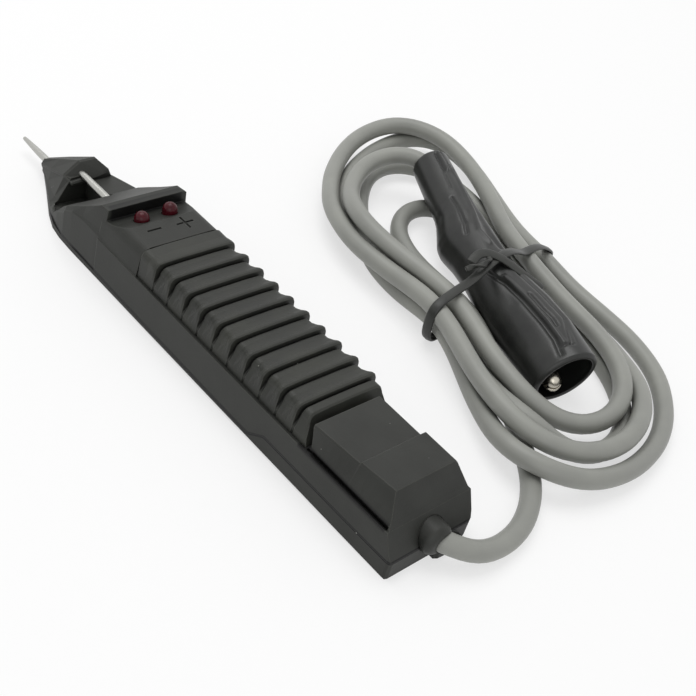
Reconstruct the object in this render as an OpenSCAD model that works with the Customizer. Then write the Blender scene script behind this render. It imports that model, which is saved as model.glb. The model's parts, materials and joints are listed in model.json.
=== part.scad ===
// Voltage tester: a moulded housing with a steel probe, two lamps and a clip on a lead.
// The rear wall of the housing is x = 0 inside every module, and the probe points to -x.

/* [Housing] */
// Length of the housing from the tip of its nose to its rear wall
body_l = 124; // [112:1:150]
// Width of the housing over its side walls
body_w = 20.6; // [18:0.2:26]
// Height of the ledge that the grip stands on
ledge_h = 9.2; // [8.4:0.1:11]
// Height of the flat top that holds the lamps
deck_h = 15.2; // [14:0.1:18]
// Height of the finger guard in front of the lamps above the flat top
guard_rise = 1; // [0.4:0.1:2.5]
// Thickness of the moulded walls
wall = 1.4; // [1:0.1:1.8]
// Height of the cover's side walls at the rear
cover_h = 3.8; // [3:0.1:4.6]
// Height of the cover's edge at the front
cover_lip = 1.3; // [1:0.1:2]

/* [Grip] */
// Length of the ribbed grip
grip_l = 49; // [40:0.5:56]
// Distance from one rib to the next
rib_pitch = 4.65; // [4:0.05:6]
// How far each rib stands out of the grip
rib_rise = 0.65; // [0.2:0.05:1]

/* [Probe] */
// Diameter of the steel needle at its point
needle_d = 1.5; // [1.2:0.1:1.8]
// Diameter of the needle's shank in the window
shank_d = 1.9; // [1.8:0.1:2.2]
// Length of the needle in front of the nose
needle_out = 8.5; // [6:0.5:14]
// Height of the needle's point above the table
needle_z = 3.3; // [2.8:0.1:3.8]
// Height of the needle's shank in the window
shank_z = 8.6; // [8:0.1:9]

/* [Lamps] */
// Diameter of each lamp
lamp_d = 3; // [2.5:0.1:4]
// Distance between the two lamps
lamp_gap = 6.5; // [5:0.1:8]

/* [Board] */
// Thickness of the circuit board
board_t = 1.6; // [1:0.1:2]
// Height of the underside of the circuit board
board_z = 5.6; // [5.5:0.1:5.8]

/* [Lead] */
// Diameter of the lead
lead_d = 4; // [3.5:0.1:4.6]
// Diameter of the gland that the lead leaves by
gland_d = 6.2; // [5.8:0.1:7]

/* [Clip] */
// Length of the insulating boot
boot_l = 71; // [68:1:90]
// Width of the boot at its mouth
boot_w = 14.6; // [14.4:0.2:18]
// Height of the boot at its mouth
boot_h = 10.8; // [10.6:0.1:13]
// Diameter of the boot's tail
tail_d = 9.1; // [8.8:0.1:9.8]
// How far the boot bulges to one side over the levers
boot_flare = 9.3; // [8.6:0.1:11]
// Wall of the boot
boot_wall = 1.1; // [0.8:0.1:1.4]
// Length of the jaws in front of their rivet
jaw_l = 27; // [22:0.5:30]
// Width of the lower jaw at the rivet
jaw_w = 5; // [4.6:0.1:6]
// Thickness of the jaws' sheet metal
sheet_t = 0.6; // [0.4:0.05:0.8]
// Diameter of the rivet
rivet_d = 2; // [1.6:0.1:2.4]

/* [Hidden] */
$fn = 48;
slack = 0.05;
gland_out = 1.9;
rear_x = (body_l + needle_out - gland_out) / 2;
half_w = body_w / 2;

// The plan of the housing: distance from the rear wall, and half the width there
nose_l = 21;
shoulder_x = -body_l + nose_l;
side = [
  [-body_l, 0.15],
  [-body_l + 1.3, 0.6],
  [-body_l + 6.7, 3.2],
  [-body_l + 15, half_w - 2.9],
  [-body_l + 19, half_w - 1.35],
  [shoulder_x + 1.5, half_w - 0.8],
  [shoulder_x + 8, half_w - 0.5],
  [-68, half_w - 0.1],
  [-42, half_w],
  [-12, half_w - 0.2],
  [-0.8, half_w - 0.4],
  [-0.2, half_w - 0.65],
  [0, half_w - 1.2]
];

// Places along the housing
guard_x = shoulder_x + 14;
guard_t = 2.2;
lamp_x = guard_x + 5.3;
mark_x = lamp_x + 4.4;
grip_x = shoulder_x + 28.2;
grip_end = min(grip_x + grip_l, -20);
grip_run = grip_end - grip_x;
block_x = grip_end + 1.7;
step_x = -13.2;
split_x = -37;
window_x = shoulder_x - 6.5;
window_end = shoulder_x + 3;
head_top = 10.4;
shelf_z = 7.6;

// The space inside the housing
gland_z = 5.1;
hold_x = window_end + 3.5;
rear_in = -2.6 - wall;
cover_t = 1.2;
roof = deck_h - wall - 1.2;

// The board and what stands on it
board_x = hold_x + 0.6;
board_end = rear_in - 1.4;
core_r = board_z - gland_z;
board_w = body_w - 2 * wall - 3.4;
board_top = board_z + board_t;
clip_l = 6;
leg_d = 0.6;
leg_gap = 1.27;
part_y = 3.6;

// The clip lies on the table on the edge of its mouth, rolled to one side
boot_turn = [45, 2.6, -20.9];
mouth_z = norm([boot_w / 2 * sin(boot_turn[0]), boot_h / 2 * cos(boot_turn[0])]) + 0.25;
boot_at = [-81.2, 76.5, mouth_z + boot_l * sin(boot_turn[1])];
bore_l = 17;
pivot_s = boot_l - jaw_l - 1;
jaw_roll = -27;
jaw_side_way = -1;
ear_gap = 0.1;
lever_s = pivot_s - 15.5;
tooth = 1.1;

// The lead runs from the gland along the table to the hank, in round numbers
lead_dir = [0.84, 0.52, -0.12];
lead_route = [
  [0.3, 0.2, 5],
  [2, 1.2, 4.8],
  [3.7, 2.9, 4.3],
  [5.1, 5.3, 3.5],
  [5.9, 8.3, 2.7],
  [6.1, 11.6, 2.2],
  [5.7, 15.4, 2.1],
  [4.8, 19.2, 2.1],
  [3.2, 23, 2.2],
  [0.8, 26.4, 2.6],
  [-2, 28.9, 3],
  [-4.4, 30.7, 3.4]
];
// The other end leaves the hank and turns into the boot
end_route = [
  [-98.6, 66.6, 5.2],
  [-99.8, 71.4, 6.6],
  [-98.2, 76, 8],
  [-94.4, 79, 9],
  [-89.6, 79.4, 9.5],
  [-85.2, 78, 9.7]
];

// The hank is a ring of wound lead, tied at its waist
hank_a = [-86, 77];
hank_b = [-14, 52.5];
hank_r = 23;
hank_waist = 17.4;
hank_in = 13;
hank_slot = 11;
hank_z = 0.9;
hank_h = 5.8;
tie_at = [-44.8, 61.8];
tie_turn = 99.4;
tie_t = 0.7;
tie_b = 2.4;

// Half the plan, mirrored to a closed outline and drawn in by d
function outline(d) = concat(
  [for (p = side) [min(max(p[0], -body_l + d), -d), -max(p[1] - d, 0.2)]],
  [for (i = [len(side) - 1 : -1 : 0])
    [min(max(side[i][0], -body_l + d), -d), max(side[i][1] - d, 0.2)]]
);

module plan(d, z0, z1) {
  translate([0, 0, z0]) linear_extrude(z1 - z0) polygon(outline(d));
}

// A profile drawn along the housing, as wide as the housing and more
module long_profile(points) {
  rotate([90, 0, 0]) linear_extrude(body_w + 20, center = true) polygon(points);
}

// A profile drawn across the housing, from x0 to x1
module cross_profile(points, x0, x1) {
  translate([x0, 0, 0]) rotate([90, 0, 90]) linear_extrude(x1 - x0) polygon(points);
}

// A quarter of a circle round c, from angle a0 to a1, in n steps
function bend(c, r, a0, a1, n) = [
  for (i = [0 : n]) let (a = a0 + (a1 - a0) * i / n) [c[0] + r * cos(a), c[1] + r * sin(a)]
];

// A top with rounded shoulders, w each side of the middle and h high
function dome(w, h, r, low) = concat(
  [[-w, low]],
  bend([r - w, h - r], r, 180, 90, 6),
  bend([w - r, h - r], r, 90, 0, 6),
  [[w, low]]
);

// Sweeps and lofts: rings of points joined to one closed skin
function ring_faces(m, n) = concat(
  [[for (k = [n - 1 : -1 : 0]) k]],
  [for (i = [0 : m - 2]) for (k = [0 : n - 1])
    [i * n + k, i * n + (k + 1) % n, (i + 1) * n + (k + 1) % n, (i + 1) * n + k]],
  [[for (k = [0 : n - 1]) (m - 1) * n + k]]
);

module skin(rings) {
  polyhedron(
    points = [for (r = rings) for (p = r) p],
    faces = ring_faces(len(rings), len(rings[0])),
    convexity = 6
  );
}

function unit(v) = v / norm(v);
function heading(p, i) = unit(p[min(i + 1, len(p) - 1)] - p[max(i - 1, 0)]);
function round_ring(c, t, r, n) =
  let (s = unit(cross(t, [0, 0, 1])), u = cross(s, t))
  [for (k = [0 : n - 1]) c + r * (cos(360 * k / n) * s + sin(360 * k / n) * u)];

module tube(path, r, n) {
  skin([for (i = [0 : len(path) - 1]) round_ring(path[i], heading(path, i), r, n)]);
}

// A smooth curve through the route's points, with m steps between two of them
function smooth(p, m) = concat(
  [for (i = [0 : len(p) - 2]) for (j = [0 : m - 1])
    let (
      t = j / m,
      a = p[max(i - 1, 0)], b = p[i], c = p[i + 1], d = p[min(i + 2, len(p) - 1)]
    )
    0.5 * (2 * b + (c - a) * t + (2 * a - 5 * b + 4 * c - d) * t * t
      + (3 * b - a - 3 * c + d) * t * t * t)],
  [p[len(p) - 1]]
);

// The needle lies low at its point, cranks up inside the nose and runs back to the board.
// In front of the nose it is ground a little thinner
crank_x = -body_l + 8.5;
crank_end = window_x - 2.6;
point_x = -body_l - 0.5;
module needle_shape(grow) {
  shank = shank_d / 2 + grow;
  rise = shank_z - needle_z;
  run = crank_end - crank_x;
  translate([point_x - grow, 0, needle_z]) rotate([0, 90, 0])
    cylinder(h = crank_x - point_x + grow, r = shank);
  translate([crank_x, 0, needle_z]) sphere(r = shank + 0.08);
  translate([crank_x, 0, needle_z]) rotate([0, 90 - atan2(rise, run), 0])
    cylinder(h = norm([rise, run]), r = shank);
  translate([crank_end, 0, shank_z]) sphere(r = shank + 0.08);
  translate([crank_end, 0, shank_z]) rotate([0, 90, 0])
    cylinder(h = board_x + clip_l + 2 - crank_end + grow, r = shank);
}

module probe_needle() {
  tip = needle_out * 0.55;
  color([0.72, 0.71, 0.66]) union() {
    needle_shape(0);
    translate([-body_l - needle_out + tip, 0, needle_z]) rotate([0, 90, 0])
      cylinder(h = point_x + body_l + needle_out - tip + 0.1, r = needle_d / 2);
    translate([-body_l - needle_out + 0.4, 0, needle_z]) rotate([0, 90, 0])
      cylinder(h = tip - 0.4, r1 = needle_d * 0.25, r2 = needle_d / 2);
    translate([-body_l - needle_out + 0.4, 0, needle_z]) sphere(r = 0.4);
  }
}

// Sections of the nose from its tip to the finger guard. Each has its place, half its width at
// the foot, the height of its foot, the left and right edges of its top, and the ridge between
top = deck_h + guard_rise;
peak_x = window_x - 1.4;
head_x = window_x + 0.6;
nose_side = [
  [-body_l + 0.9, 0.7, 1.4, [-1.2, 2.6], [-0.6, 3.7], [0.6, 3.7], [1.2, 3.3], [1.1, 2.3]],
  [-body_l + 6.5, 3.1, 1.6, [-2.2, 5], [-0.2, 6.9], [2, 6.9], [3.2, 6.1], [3.5, 4.6]],
  [peak_x, 6.4, 1.9, [-3.3, 7.7], [0.1, head_top], [3.7, head_top], [4.9, head_top - 1.3], [6, 6.8]],
  [head_x, 7.4, 2.1, [-2.9, 8.2], [0.7, 8.3], [4.3, 8.7], [5, head_top - 1.2], [6.4, 7.1]],
  [head_x + 0.1, 7.5, 2.2, [-4.2, 6.8], [0.8, 7], [4.5, 7], [6.2, 7.1], [6.5, 7]],
  [shoulder_x - 1, half_w - 1.4, 4.4, [-7.8, 7.2], [0, 7.7], [6, 7.7], [7.1, 7.7], [7.4, 7.6]],
  [window_end - 1, half_w - 0.8, 6.5, [-9.1, 7.8], [0, 8.1], [6, 8.1], [7.7, 8.1], [7.9, 8]],
  [window_end - 0.4, half_w - 0.7, 7.4, [-9.1, 8.5], [0, 8.6], [6, 8.6], [7.8, 8.6], [8.1, 8.4]],
  [window_end + 2.5, half_w - 0.6, 9, [-9.1, 10.4], [0, 10.5], [6, 10.5], [8, 10.5], [8.4, 10.2]],
  [window_end + 6, half_w - 0.6, 9.5, [-9, 12.6], [0, 12.7], [6, 12.7], [8.3, 12.7], [8.7, 12.3]],
  [guard_x - 1.9, half_w - 0.55, 9.6, [-9, 14.7], [0, 14.8], [6, 14.8], [8.5, 14.8], [8.9, 14.4]],
  [guard_x - 0.2, half_w - 0.5, 9.6, [-8.9, top - 0.3], [0, top - 0.2], [6, top - 0.2],
    [8.7, top - 0.2], [9.1, top - 0.6]],
  [guard_x + guard_t, half_w - 0.5, 9.6, [-8.9, top - 0.1], [0, top], [6, top], [8.9, top],
    [9.3, top - 0.4]]
];
function nose_ring(p) = [
  for (q = [[-p[1], 0], [-p[1], p[2]],
    [-0.62 * p[1] + 0.38 * p[3][0], 0.8 * p[2] + 0.2 * p[3][1]],
    p[3], p[4], p[5], p[6], p[7], [p[1], p[2]], [p[1], 0]])
    [p[0], q[0], q[1]]
];

// The flat top with the lamps, its sides leaning in to wide round shoulders
function deck_ring(w, r) = concat(
  [[-half_w - 2, 0], [-half_w - 1, 3], [0.6 - half_w, ledge_h + 0.6]],
  bend([r - w, deck_h - r], r, 172, 90, 7),
  bend([w - r, deck_h - r], r, 90, 8, 7),
  [[half_w - 0.6, ledge_h + 0.6], [half_w + 1, 3], [half_w + 2, 0]]
);

module nose_and_deck() {
  intersection() {
    plan(-0.5, cover_lip, top + 1);
    skin([for (p = nose_side) nose_ring(p)]);
  }
  intersection() {
    plan(0, cover_lip, top + 1);
    long_profile([
      [guard_x + 1, cover_lip],
      [guard_x + 1, deck_h - 1.4],
      [guard_x + guard_t + 0.7, deck_h - 1.4],
      [guard_x + guard_t + 2.2, deck_h - 1.1],
      [lamp_x + 2.2, deck_h],
      [grip_x, deck_h],
      [grip_x, cover_lip]
    ]);
    cross_profile(deck_ring(half_w - 1, 2.4), guard_x, grip_x + 1);
  }
}

// The slot behind the hook head is open to one side, over a low wall, above the needle's shank
module window_cut() {
  translate([0, 0, cover_lip + 1]) linear_extrude(20) polygon([
    [head_x, shank_d / 2 + 0.12],
    [window_end + 0.4, shank_d / 2 + 0.12],
    [window_end + 0.8, -3],
    [window_end, -6.4],
    [window_end - 1.8, 2.8 - half_w],
    [window_x + 3, 2.6 - half_w],
    [head_x, 4 - half_w]
  ]);
  translate([0, -7.1 - body_w / 2, 0]) rotate([90, 0, 0]) linear_extrude(body_w, center = true)
    polygon([
      [window_x + 3.6, 3],
      [window_end - 0.9, 8.2],
      [window_end - 0.2, 12],
      [window_x - 6, 12],
      [window_x - 6, 3]
    ]);
}

// The rear block is narrower and lower in its front part on the far side, and tapers to the rear.
// Each section has its place, how far its top is drawn in on each side, and its height
block_side = concat(
  [for (k = [0 : 6]) [block_x - 0.5 + (step_x - block_x + 0.5) * k / 6, 1 + k / 6, 4.1, deck_h - 0.6]],
  [for (k = [0 : 4]) [step_x + 0.3 - (step_x + 5.2) * k / 4, 2 + 0.9 * k / 4, 3.2, deck_h - 0.2]],
  [[-0.5, 3.4, 3.6, deck_h - 0.4]]
);
function block_ring(p) = [
  for (q = [[0.9 - half_w, ledge_h - 1], [0.8 - half_w, ledge_h + 0.2], [p[1] - half_w, p[3] - 0.4],
    [p[1] + 0.3 - half_w, p[3]], [half_w - p[2] - 0.3, p[3]], [half_w - p[2], p[3] - 0.4],
    [half_w - 0.8, ledge_h + 0.2], [half_w - 0.9, ledge_h - 1]])
    [p[0], q[0], q[1]]
];

module block() {
  intersection() {
    long_profile([
      [block_x + 1.9, ledge_h - 0.9],
      [block_x, deck_h + 1],
      [-5.9, deck_h + 1],
      [-5.3, deck_h - 0.4],
      [-2.1, ledge_h - 0.9]
    ]);
    skin([for (p = block_side) block_ring(p)]);
  }
}

module housing_outer() {
  intersection() {
    plan(0, cover_lip, ledge_h);
    long_profile([
      [guard_x + 1, cover_lip],
      [guard_x + 1, ledge_h],
      [-2.5, ledge_h],
      [0, cover_h],
      [0, cover_lip]
    ]);
  }
  nose_and_deck();
  block();
}

// The inside: a long well for the board, higher under the lamps and under the rear block
module housing_inside() {
  intersection() {
    plan(wall + 0.6, 0, roof + 1);
    union() {
      cross_profile([[-half_w, -1], [half_w, -1], [half_w, ledge_h - wall],
        [-half_w, ledge_h - wall]], hold_x, rear_in);
      cross_profile(dome(half_w - 0.35 - wall, roof, 1.2, 0), lamp_x - 2.4, grip_x - wall);
      long_profile([
        [hold_x, -1],
        [hold_x, ledge_h - wall + 0.6],
        [hold_x + 3.5, ledge_h + 1.6],
        [guard_x, roof],
        [lamp_x, roof],
        [lamp_x, -1]
      ]);
      translate([grip_x + wall, 2.4 - half_w, 0])
        cube([grip_run - 2 * wall, body_w - 4.8, ledge_h + 1]);
      translate([block_x + wall + 1.9, 3.2 + wall - half_w, 0])
        cube([-6.5 - wall - block_x, body_w - 6.4 - 2 * wall, roof - 0.4]);
    }
  }
}

// Everything that the cover fills is cut from the housing
module cover_room() {
  translate([-body_l - 5, -body_w, -1]) cube([body_l + 10, 2 * body_w, 1 + cover_lip]);
  long_profile([
    [split_x, 0],
    [split_x, cover_lip],
    [split_x + 2.6, cover_h - 0.8],
    [split_x + 4, cover_h],
    [1, cover_h],
    [1, 0]
  ]);
}

module lamp_places() {
  for (s = [-1, 1]) translate([lamp_x, s * lamp_gap / 2, 0]) children();
}

// The two signs are shallow cuts beside the lamps
module signs() {
  cut = 0.3;
  translate([mark_x, -lamp_gap / 2 - 0.1, deck_h]) cube([0.5, 3.2, 2 * cut], center = true);
  translate([mark_x + 0.3, lamp_gap / 2 + 0.3, deck_h]) cube([0.5, 3.9, 2 * cut], center = true);
  translate([mark_x + 0.3, lamp_gap / 2 + 0.3, deck_h]) cube([3.7, 0.5, 2 * cut], center = true);
}

// The gland's collar sits in a round seat that both mouldings share
seat_x = -2.3;
module gland_seat() {
  translate([-6, 0, gland_z]) rotate([0, 90, 0]) cylinder(h = 12, r = gland_d / 2 - 0.5);
  translate([seat_x, 0, gland_z]) rotate([0, 90, 0]) cylinder(h = 6, r = gland_d / 2 + slack);
  translate([rear_in - 1 - slack, 0, gland_z]) rotate([0, 90, 0])
    cylinder(h = 1 + slack, r = gland_d / 2 - 0.1 + slack);
}

// A narrow groove runs along the foot of the rear block on both sides
module block_grooves() {
  for (s = [-1, 1]) translate([(block_x - 2.4) / 2, s * (half_w - 1), ledge_h])
    cube([-3.6 - block_x, 0.6, 1.2], center = true);
}

module housing() {
  color([0.2, 0.2, 0.19]) difference() {
    housing_outer();
    housing_inside();
    cover_room();
    window_cut();
    needle_shape(slack);
    lamp_places() cylinder(h = 30, r = lamp_d / 2 + 0.1);
    gland_seat();
    block_grooves();
    signs();
  }
}

// The cover is a shallow tray: a thin edge in front, side walls to the rear, a lip under the lead
module cover_edge(d) {
  intersection() {
    plan(d, 0, cover_h);
    union() {
      translate([-body_l, -body_w, 0]) cube([body_l, 2 * body_w, cover_lip]);
      long_profile([
        [split_x, 0],
        [split_x, cover_lip],
        [split_x + 2.6, cover_h - 0.8],
        [split_x + 4, cover_h],
        [0, cover_h],
        [0, 0]
      ]);
    }
  }
}

module cover() {
  color([0.17, 0.17, 0.16]) difference() {
    union() {
      difference() {
        cover_edge(0);
        for (s = [-1, 1]) translate([-body_l / 2, s * (half_w + 0.02), 0])
          rotate([45, 0, 0]) cube([body_l + 2, 0.9, 0.9], center = true);
      }
      linear_extrude(1.5) polygon([[-0.5, 0.7], [0.9, 0.7], [1.35, 1.5], [1.5, 4.2], [1.35, 6.9],
        [0.9, 7.7], [-0.5, 7.7]]);
    }
    intersection() {
      plan(wall, cover_t, cover_h + 1);
      translate([hold_x, -body_w, 0]) cube([rear_in - hold_x, 2 * body_w, cover_h + 1]);
    }
    gland_seat();
  }
}

// One rib: a shallow cut, a slow rise and a round bead before the next cut
rib_shape = [[0, -0.75], [0.08, -0.7], [0.1, 0], [0.36, 0.06], [0.62, 0.5], [0.78, 0.93],
  [0.88, 1], [0.96, 0.8]];
rib_first = rib_pitch + 0.4;
rib_count = floor((grip_run - 2 - rib_first) / rib_pitch);
rib_end = rib_first + rib_count * rib_pitch;
grip_low = deck_h - 0.55;

function grip_ring(x, k, lean) =
  let (
    w = half_w - 1.75 + rib_rise * (k > 0.3 ? 1.35 : 0.75) * k,
    h = grip_low + rib_rise * k,
    foot = half_w - 0.75 + min(0, k) * 0.3,
    r = 1.5
  )
  [for (p = concat([[-foot, ledge_h], [-foot + 0.1, ledge_h + 1.4]],
      bend([r - w, h - 0.12 - r], r, 180, 95, 5),
      [[-w * 0.45, h], [w * 0.45, h]],
      bend([w - r, h - 0.12 - r], r, 85, 0, 5),
      [[foot - 0.1, ledge_h + 1.4], [foot, ledge_h]])) [x + lean * (grip_low - p[1]), p[0], p[1]]];

function grip_stations() = concat(
  [[0.12, 0.72], [0.2, 0.85], [rib_first * 0.5, 0.8], [rib_first * 0.78, 1],
    [rib_first * 0.9, 1], [rib_first * 0.97, 0.8]],
  [for (i = [0 : rib_count - 1]) for (s = rib_shape)
    [rib_first + (i + s[0]) * rib_pitch, s[1]]],
  [[rib_end, -0.75], [rib_end + 0.35, -0.7], [rib_end + 0.45, 0.15],
    [grip_run - 0.3, 0.15], [grip_run, -0.2]]
);
function grip_lean(x) = max(0, x - rib_end - 0.5) / (grip_run - rib_end - 0.5) * 0.36;

module grip() {
  color([0.23, 0.23, 0.22]) difference() {
    skin([for (s = grip_stations()) grip_ring(grip_x + s[0], s[1], grip_lean(s[0]))]);
    translate([grip_x + wall, 2.4 - half_w, ledge_h - 1])
      cube([grip_run - 2 * wall, body_w - 4.8, grip_low - 1.9 - ledge_h + 1]);
  }
}

module needle_clip() {
  h = shank_z + shank_d / 2 + 0.7 - board_top;
  color([0.75, 0.6, 0.3]) difference() {
    translate([board_x + 2.4, -shank_d / 2 - 0.8, board_top])
      cube([clip_l - 1, shank_d + 1.6, h]);
    needle_shape(slack);
    translate([board_x + 1, -shank_d * 0.3, shank_z])
      cube([clip_l + 2, shank_d * 0.6, h]);
  }
}

module leg_pair(x, y, gap, low, high) {
  for (s = [-1, 1]) translate([x + s * gap, y, low]) cylinder(h = high - low, r = leg_d / 2, $fn = 16);
}

// Places on the board for two resistors and a diode: middle, then half the distance of the legs
part_x = grip_x + 11;
part_half = 5.1;
diode_x = part_x + 22;

module leg_holes() {
  h = board_t + 2;
  for (s = [-1, 1]) for (t = [-1, 1]) {
    translate([lamp_x + t * leg_gap, s * lamp_gap / 2, board_z - 1])
      cylinder(h = h, r = leg_d / 2 + slack, $fn = 16);
    translate([part_x + t * part_half, s * part_y, board_z - 1])
      cylinder(h = h, r = leg_d / 2 + slack, $fn = 16);
  }
  for (t = [-1, 1]) translate([diode_x + t * part_half, 0, board_z - 1])
    cylinder(h = h, r = leg_d / 2 + slack, $fn = 16);
}

module circuit_board() {
  color([0.2, 0.36, 0.2]) difference() {
    translate([board_x, -board_w / 2, board_z]) cube([board_end - board_x, board_w, board_t]);
    leg_holes();
  }
}

lamp_low = deck_h - 5.2;
module lamp(y, sink) {
  translate([lamp_x, y, -sink]) {
    translate([0, 0, lamp_low]) cylinder(h = 1, r = lamp_d / 2 + 0.35);
    translate([0, 0, lamp_low]) cylinder(h = deck_h + 0.1 - lamp_low, r = lamp_d / 2);
    translate([0, 0, deck_h + 0.1]) sphere(r = lamp_d / 2);
  }
}

module lamp_minus() {
  color([0.4, 0.06, 0.1]) lamp(-lamp_gap / 2, 0.4);
}

module lamp_plus() {
  color([0.4, 0.06, 0.1]) lamp(lamp_gap / 2, 0);
}

module lamp_minus_legs() {
  color([0.7, 0.7, 0.7]) leg_pair(lamp_x, -lamp_gap / 2, leg_gap, board_z - 0.8, lamp_low - 0.4);
}

module lamp_plus_legs() {
  color([0.7, 0.7, 0.7]) leg_pair(lamp_x, lamp_gap / 2, leg_gap, board_z - 0.8, lamp_low);
}

// A part with two wire ends: a round body lying on the board between its bent legs
module axial(x, y, d, l) {
  z = board_top + d / 2 + 0.1;
  translate([x - l / 2, y, z]) rotate([0, 90, 0]) cylinder(h = l, r = d / 2, $fn = 32);
  for (s = [-1, 1]) {
    translate([x + s * part_half, y, board_z - 0.8])
      cylinder(h = z - board_z + 0.8, r = leg_d / 2, $fn = 16);
    translate([x + s * part_half, y, z]) sphere(r = leg_d / 2, $fn = 16);
  }
  translate([x - part_half, y, z]) rotate([0, 90, 0])
    cylinder(h = 2 * part_half, r = leg_d / 2, $fn = 16);
}

module resistor_minus() {
  color([0.76, 0.66, 0.48]) axial(part_x, -part_y, 2.3, 6.3);
}

module resistor_plus() {
  color([0.76, 0.66, 0.48]) axial(part_x, part_y, 2.3, 6.3);
}

module diode() {
  color([0.12, 0.12, 0.12]) axial(diode_x, 0, 2.6, 5.2);
}

// The gland is moulded round the lead: a dome outside, a neck in the wall, a flange inside
module cable_gland() {
  r = gland_d / 2;
  color([0.16, 0.16, 0.15]) difference() {
    union() {
      translate([0, 0, gland_z]) rotate([0, 90, 0]) rotate_extrude()
        polygon(concat([[0, seat_x + slack], [r, seat_x + slack]],
          bend([r - gland_out * 0.8, gland_out * 0.2], gland_out * 0.8, 0, 90, 8),
          [[0, gland_out]]));
      translate([rear_in - 0.5, 0, gland_z]) rotate([0, 90, 0])
        cylinder(h = 0.5 - rear_in, r = r - 0.5 - slack);
      translate([rear_in - 1, 0, gland_z]) rotate([0, 90, 0])
        cylinder(h = 1, r = r - 0.1);
    }
    translate(lead_route[0]) rotate([0, acos(lead_dir[2] / norm(lead_dir)),
      atan2(lead_dir[1], lead_dir[0])]) cylinder(h = 10, r = lead_d / 2 + slack);
    translate([-6, 0, gland_z]) rotate([0, 90, 0]) cylinder(h = 7, r = core_r + slack);
  }
}

// The bare wire of the lead, soldered to the board
module lead_core() {
  color([0.72, 0.45, 0.25]) {
    translate([board_end - 2.6, 0, gland_z]) rotate([0, 90, 0])
      cylinder(h = 2.6 - board_end, r = core_r - 0.02, $fn = 24);
  }
}

module lead_run() {
  color([0.57, 0.57, 0.55]) tube(smooth(lead_route, 3), lead_d / 2, 8);
}

module hank_plan(r, waist) {
  d = hank_b - hank_a;
  translate(hank_a) circle(r = r);
  translate(hank_b) circle(r = r);
  translate(hank_a) rotate(atan2(d[1], d[0])) translate([0, -waist])
    square([norm(d), 2 * waist]);
}

module lead_hank() {
  color([0.53, 0.53, 0.51]) translate([0, 0, hank_z]) linear_extrude(hank_h) difference() {
    hank_plan(hank_r, hank_waist);
    hank_plan(hank_in, hank_slot);
  }
}

// Where a point at s along the boot lies
function boot_axis(s) = boot_at + s * [
  cos(boot_turn[1]) * cos(boot_turn[2]), cos(boot_turn[1]) * sin(boot_turn[2]), -sin(boot_turn[1])
];

module lead_end() {
  color([0.57, 0.57, 0.55]) tube(
    smooth(concat(end_route, [for (s = [0, 5, bore_l / 2, bore_l]) boot_axis(s)]), 3),
    lead_d / 2, 8);
}

// The tie goes round the hank and the boot, with its ends twisted together on top
tie_ring = [[-19.8, 0.9], [-21.6, 2.4], [-22.4, 5.2], [-20.6, 8.4], [-9, 12.3], [0, 13.3],
  [6, 12.6], [20.4, 8.6], [22.4, 5.6], [22.2, 2.4], [21.8, 0.9]];
function tie_edge(g) = [
  for (p = tie_ring) [p[0] + (abs(p[0]) > 20 ? (p[0] < 0 ? -g : g) : 0),
    p[1] + (p[1] < 1 ? -g : (p[1] < 6 ? 0 : g))]
];

module twist_tie() {
  color([0.1, 0.1, 0.1]) translate([tie_at[0], tie_at[1], 0]) rotate([0, 0, tie_turn]) {
    rotate([90, 0, 0]) linear_extrude(tie_b, center = true) difference() {
      polygon(tie_edge(tie_t));
      polygon(tie_ring);
    }
    translate([-7, -2.6, 14.2]) rotate([90, 0, 0]) cylinder(h = 6.4, r = 1, center = true);
  }
}

module on_clip() {
  translate(boot_at) rotate(boot_turn) children();
}

// The metal clip has a roll of its own inside the soft boot
module on_jaws() {
  on_clip() rotate([jaw_roll, 0, 0]) translate([0, jaw_side_way, -0.2]) children();
}

// The boot in slices: place along it, reach to the left, reach to the right, half its height
tail_r = tail_d / 2;
boot_side = [
  [0, tail_r - 0.4, tail_r - 0.4, tail_r - 0.4],
  [0.6, tail_r, tail_r, tail_r],
  [9, tail_r + 0.5, tail_r - 0.5, tail_r],
  [17, tail_r + 1, tail_r - 0.7, tail_r + 0.1],
  [19.5, tail_r + 1.9, tail_r - 0.7, tail_r + 0.3],
  [22, boot_flare - 1.9, tail_r - 0.6, tail_r + 0.6],
  [25, boot_flare - 0.3, tail_r - 0.6, boot_h / 2 - 0.1],
  [27, boot_flare, tail_r - 0.5, boot_h / 2],
  [32, boot_flare - 1, tail_r - 0.5, boot_h / 2],
  [38, boot_w / 2, tail_r - 0.4, boot_h / 2],
  [45, boot_w / 2 - 0.2, tail_r + 0.6, boot_h / 2],
  [52, boot_w / 2 - 0.2, boot_w / 2 - 0.8, boot_h / 2],
  [62, boot_w / 2 - 0.1, boot_w / 2 + 0.2, boot_h / 2],
  [boot_l - 0.6, boot_w / 2 - 0.3, boot_w / 2 + 0.3, boot_h / 2],
  [boot_l, boot_w / 2 - 0.7, boot_w / 2 - 0.1, boot_h / 2 - 0.4]
];

function oval(s, left, right, b, n) = [
  for (k = [0 : n - 1])
    [s, (right - left) / 2 + (left + right) / 2 * sin(360 * k / n), b * cos(360 * k / n)]
];

module clip_boot() {
  n = 36;
  t = boot_wall;
  inner = [for (i = [4 : len(boot_side) - 2]) let (p = boot_side[i])
    oval(p[0], p[1] - t, p[2] - t, p[3] - t, n)];
  color([0.12, 0.12, 0.12]) on_clip() difference() {
    skin([for (p = boot_side) oval(p[0], p[1], p[2], p[3], n)]);
    skin(concat(inner, [[for (p = inner[len(inner) - 1]) p + [2, 0, 0]]]));
    translate([-1, 0, 0]) rotate([0, 90, 0]) cylinder(h = bore_l + 4, r = lead_d / 2 + slack);
  }
}

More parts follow.
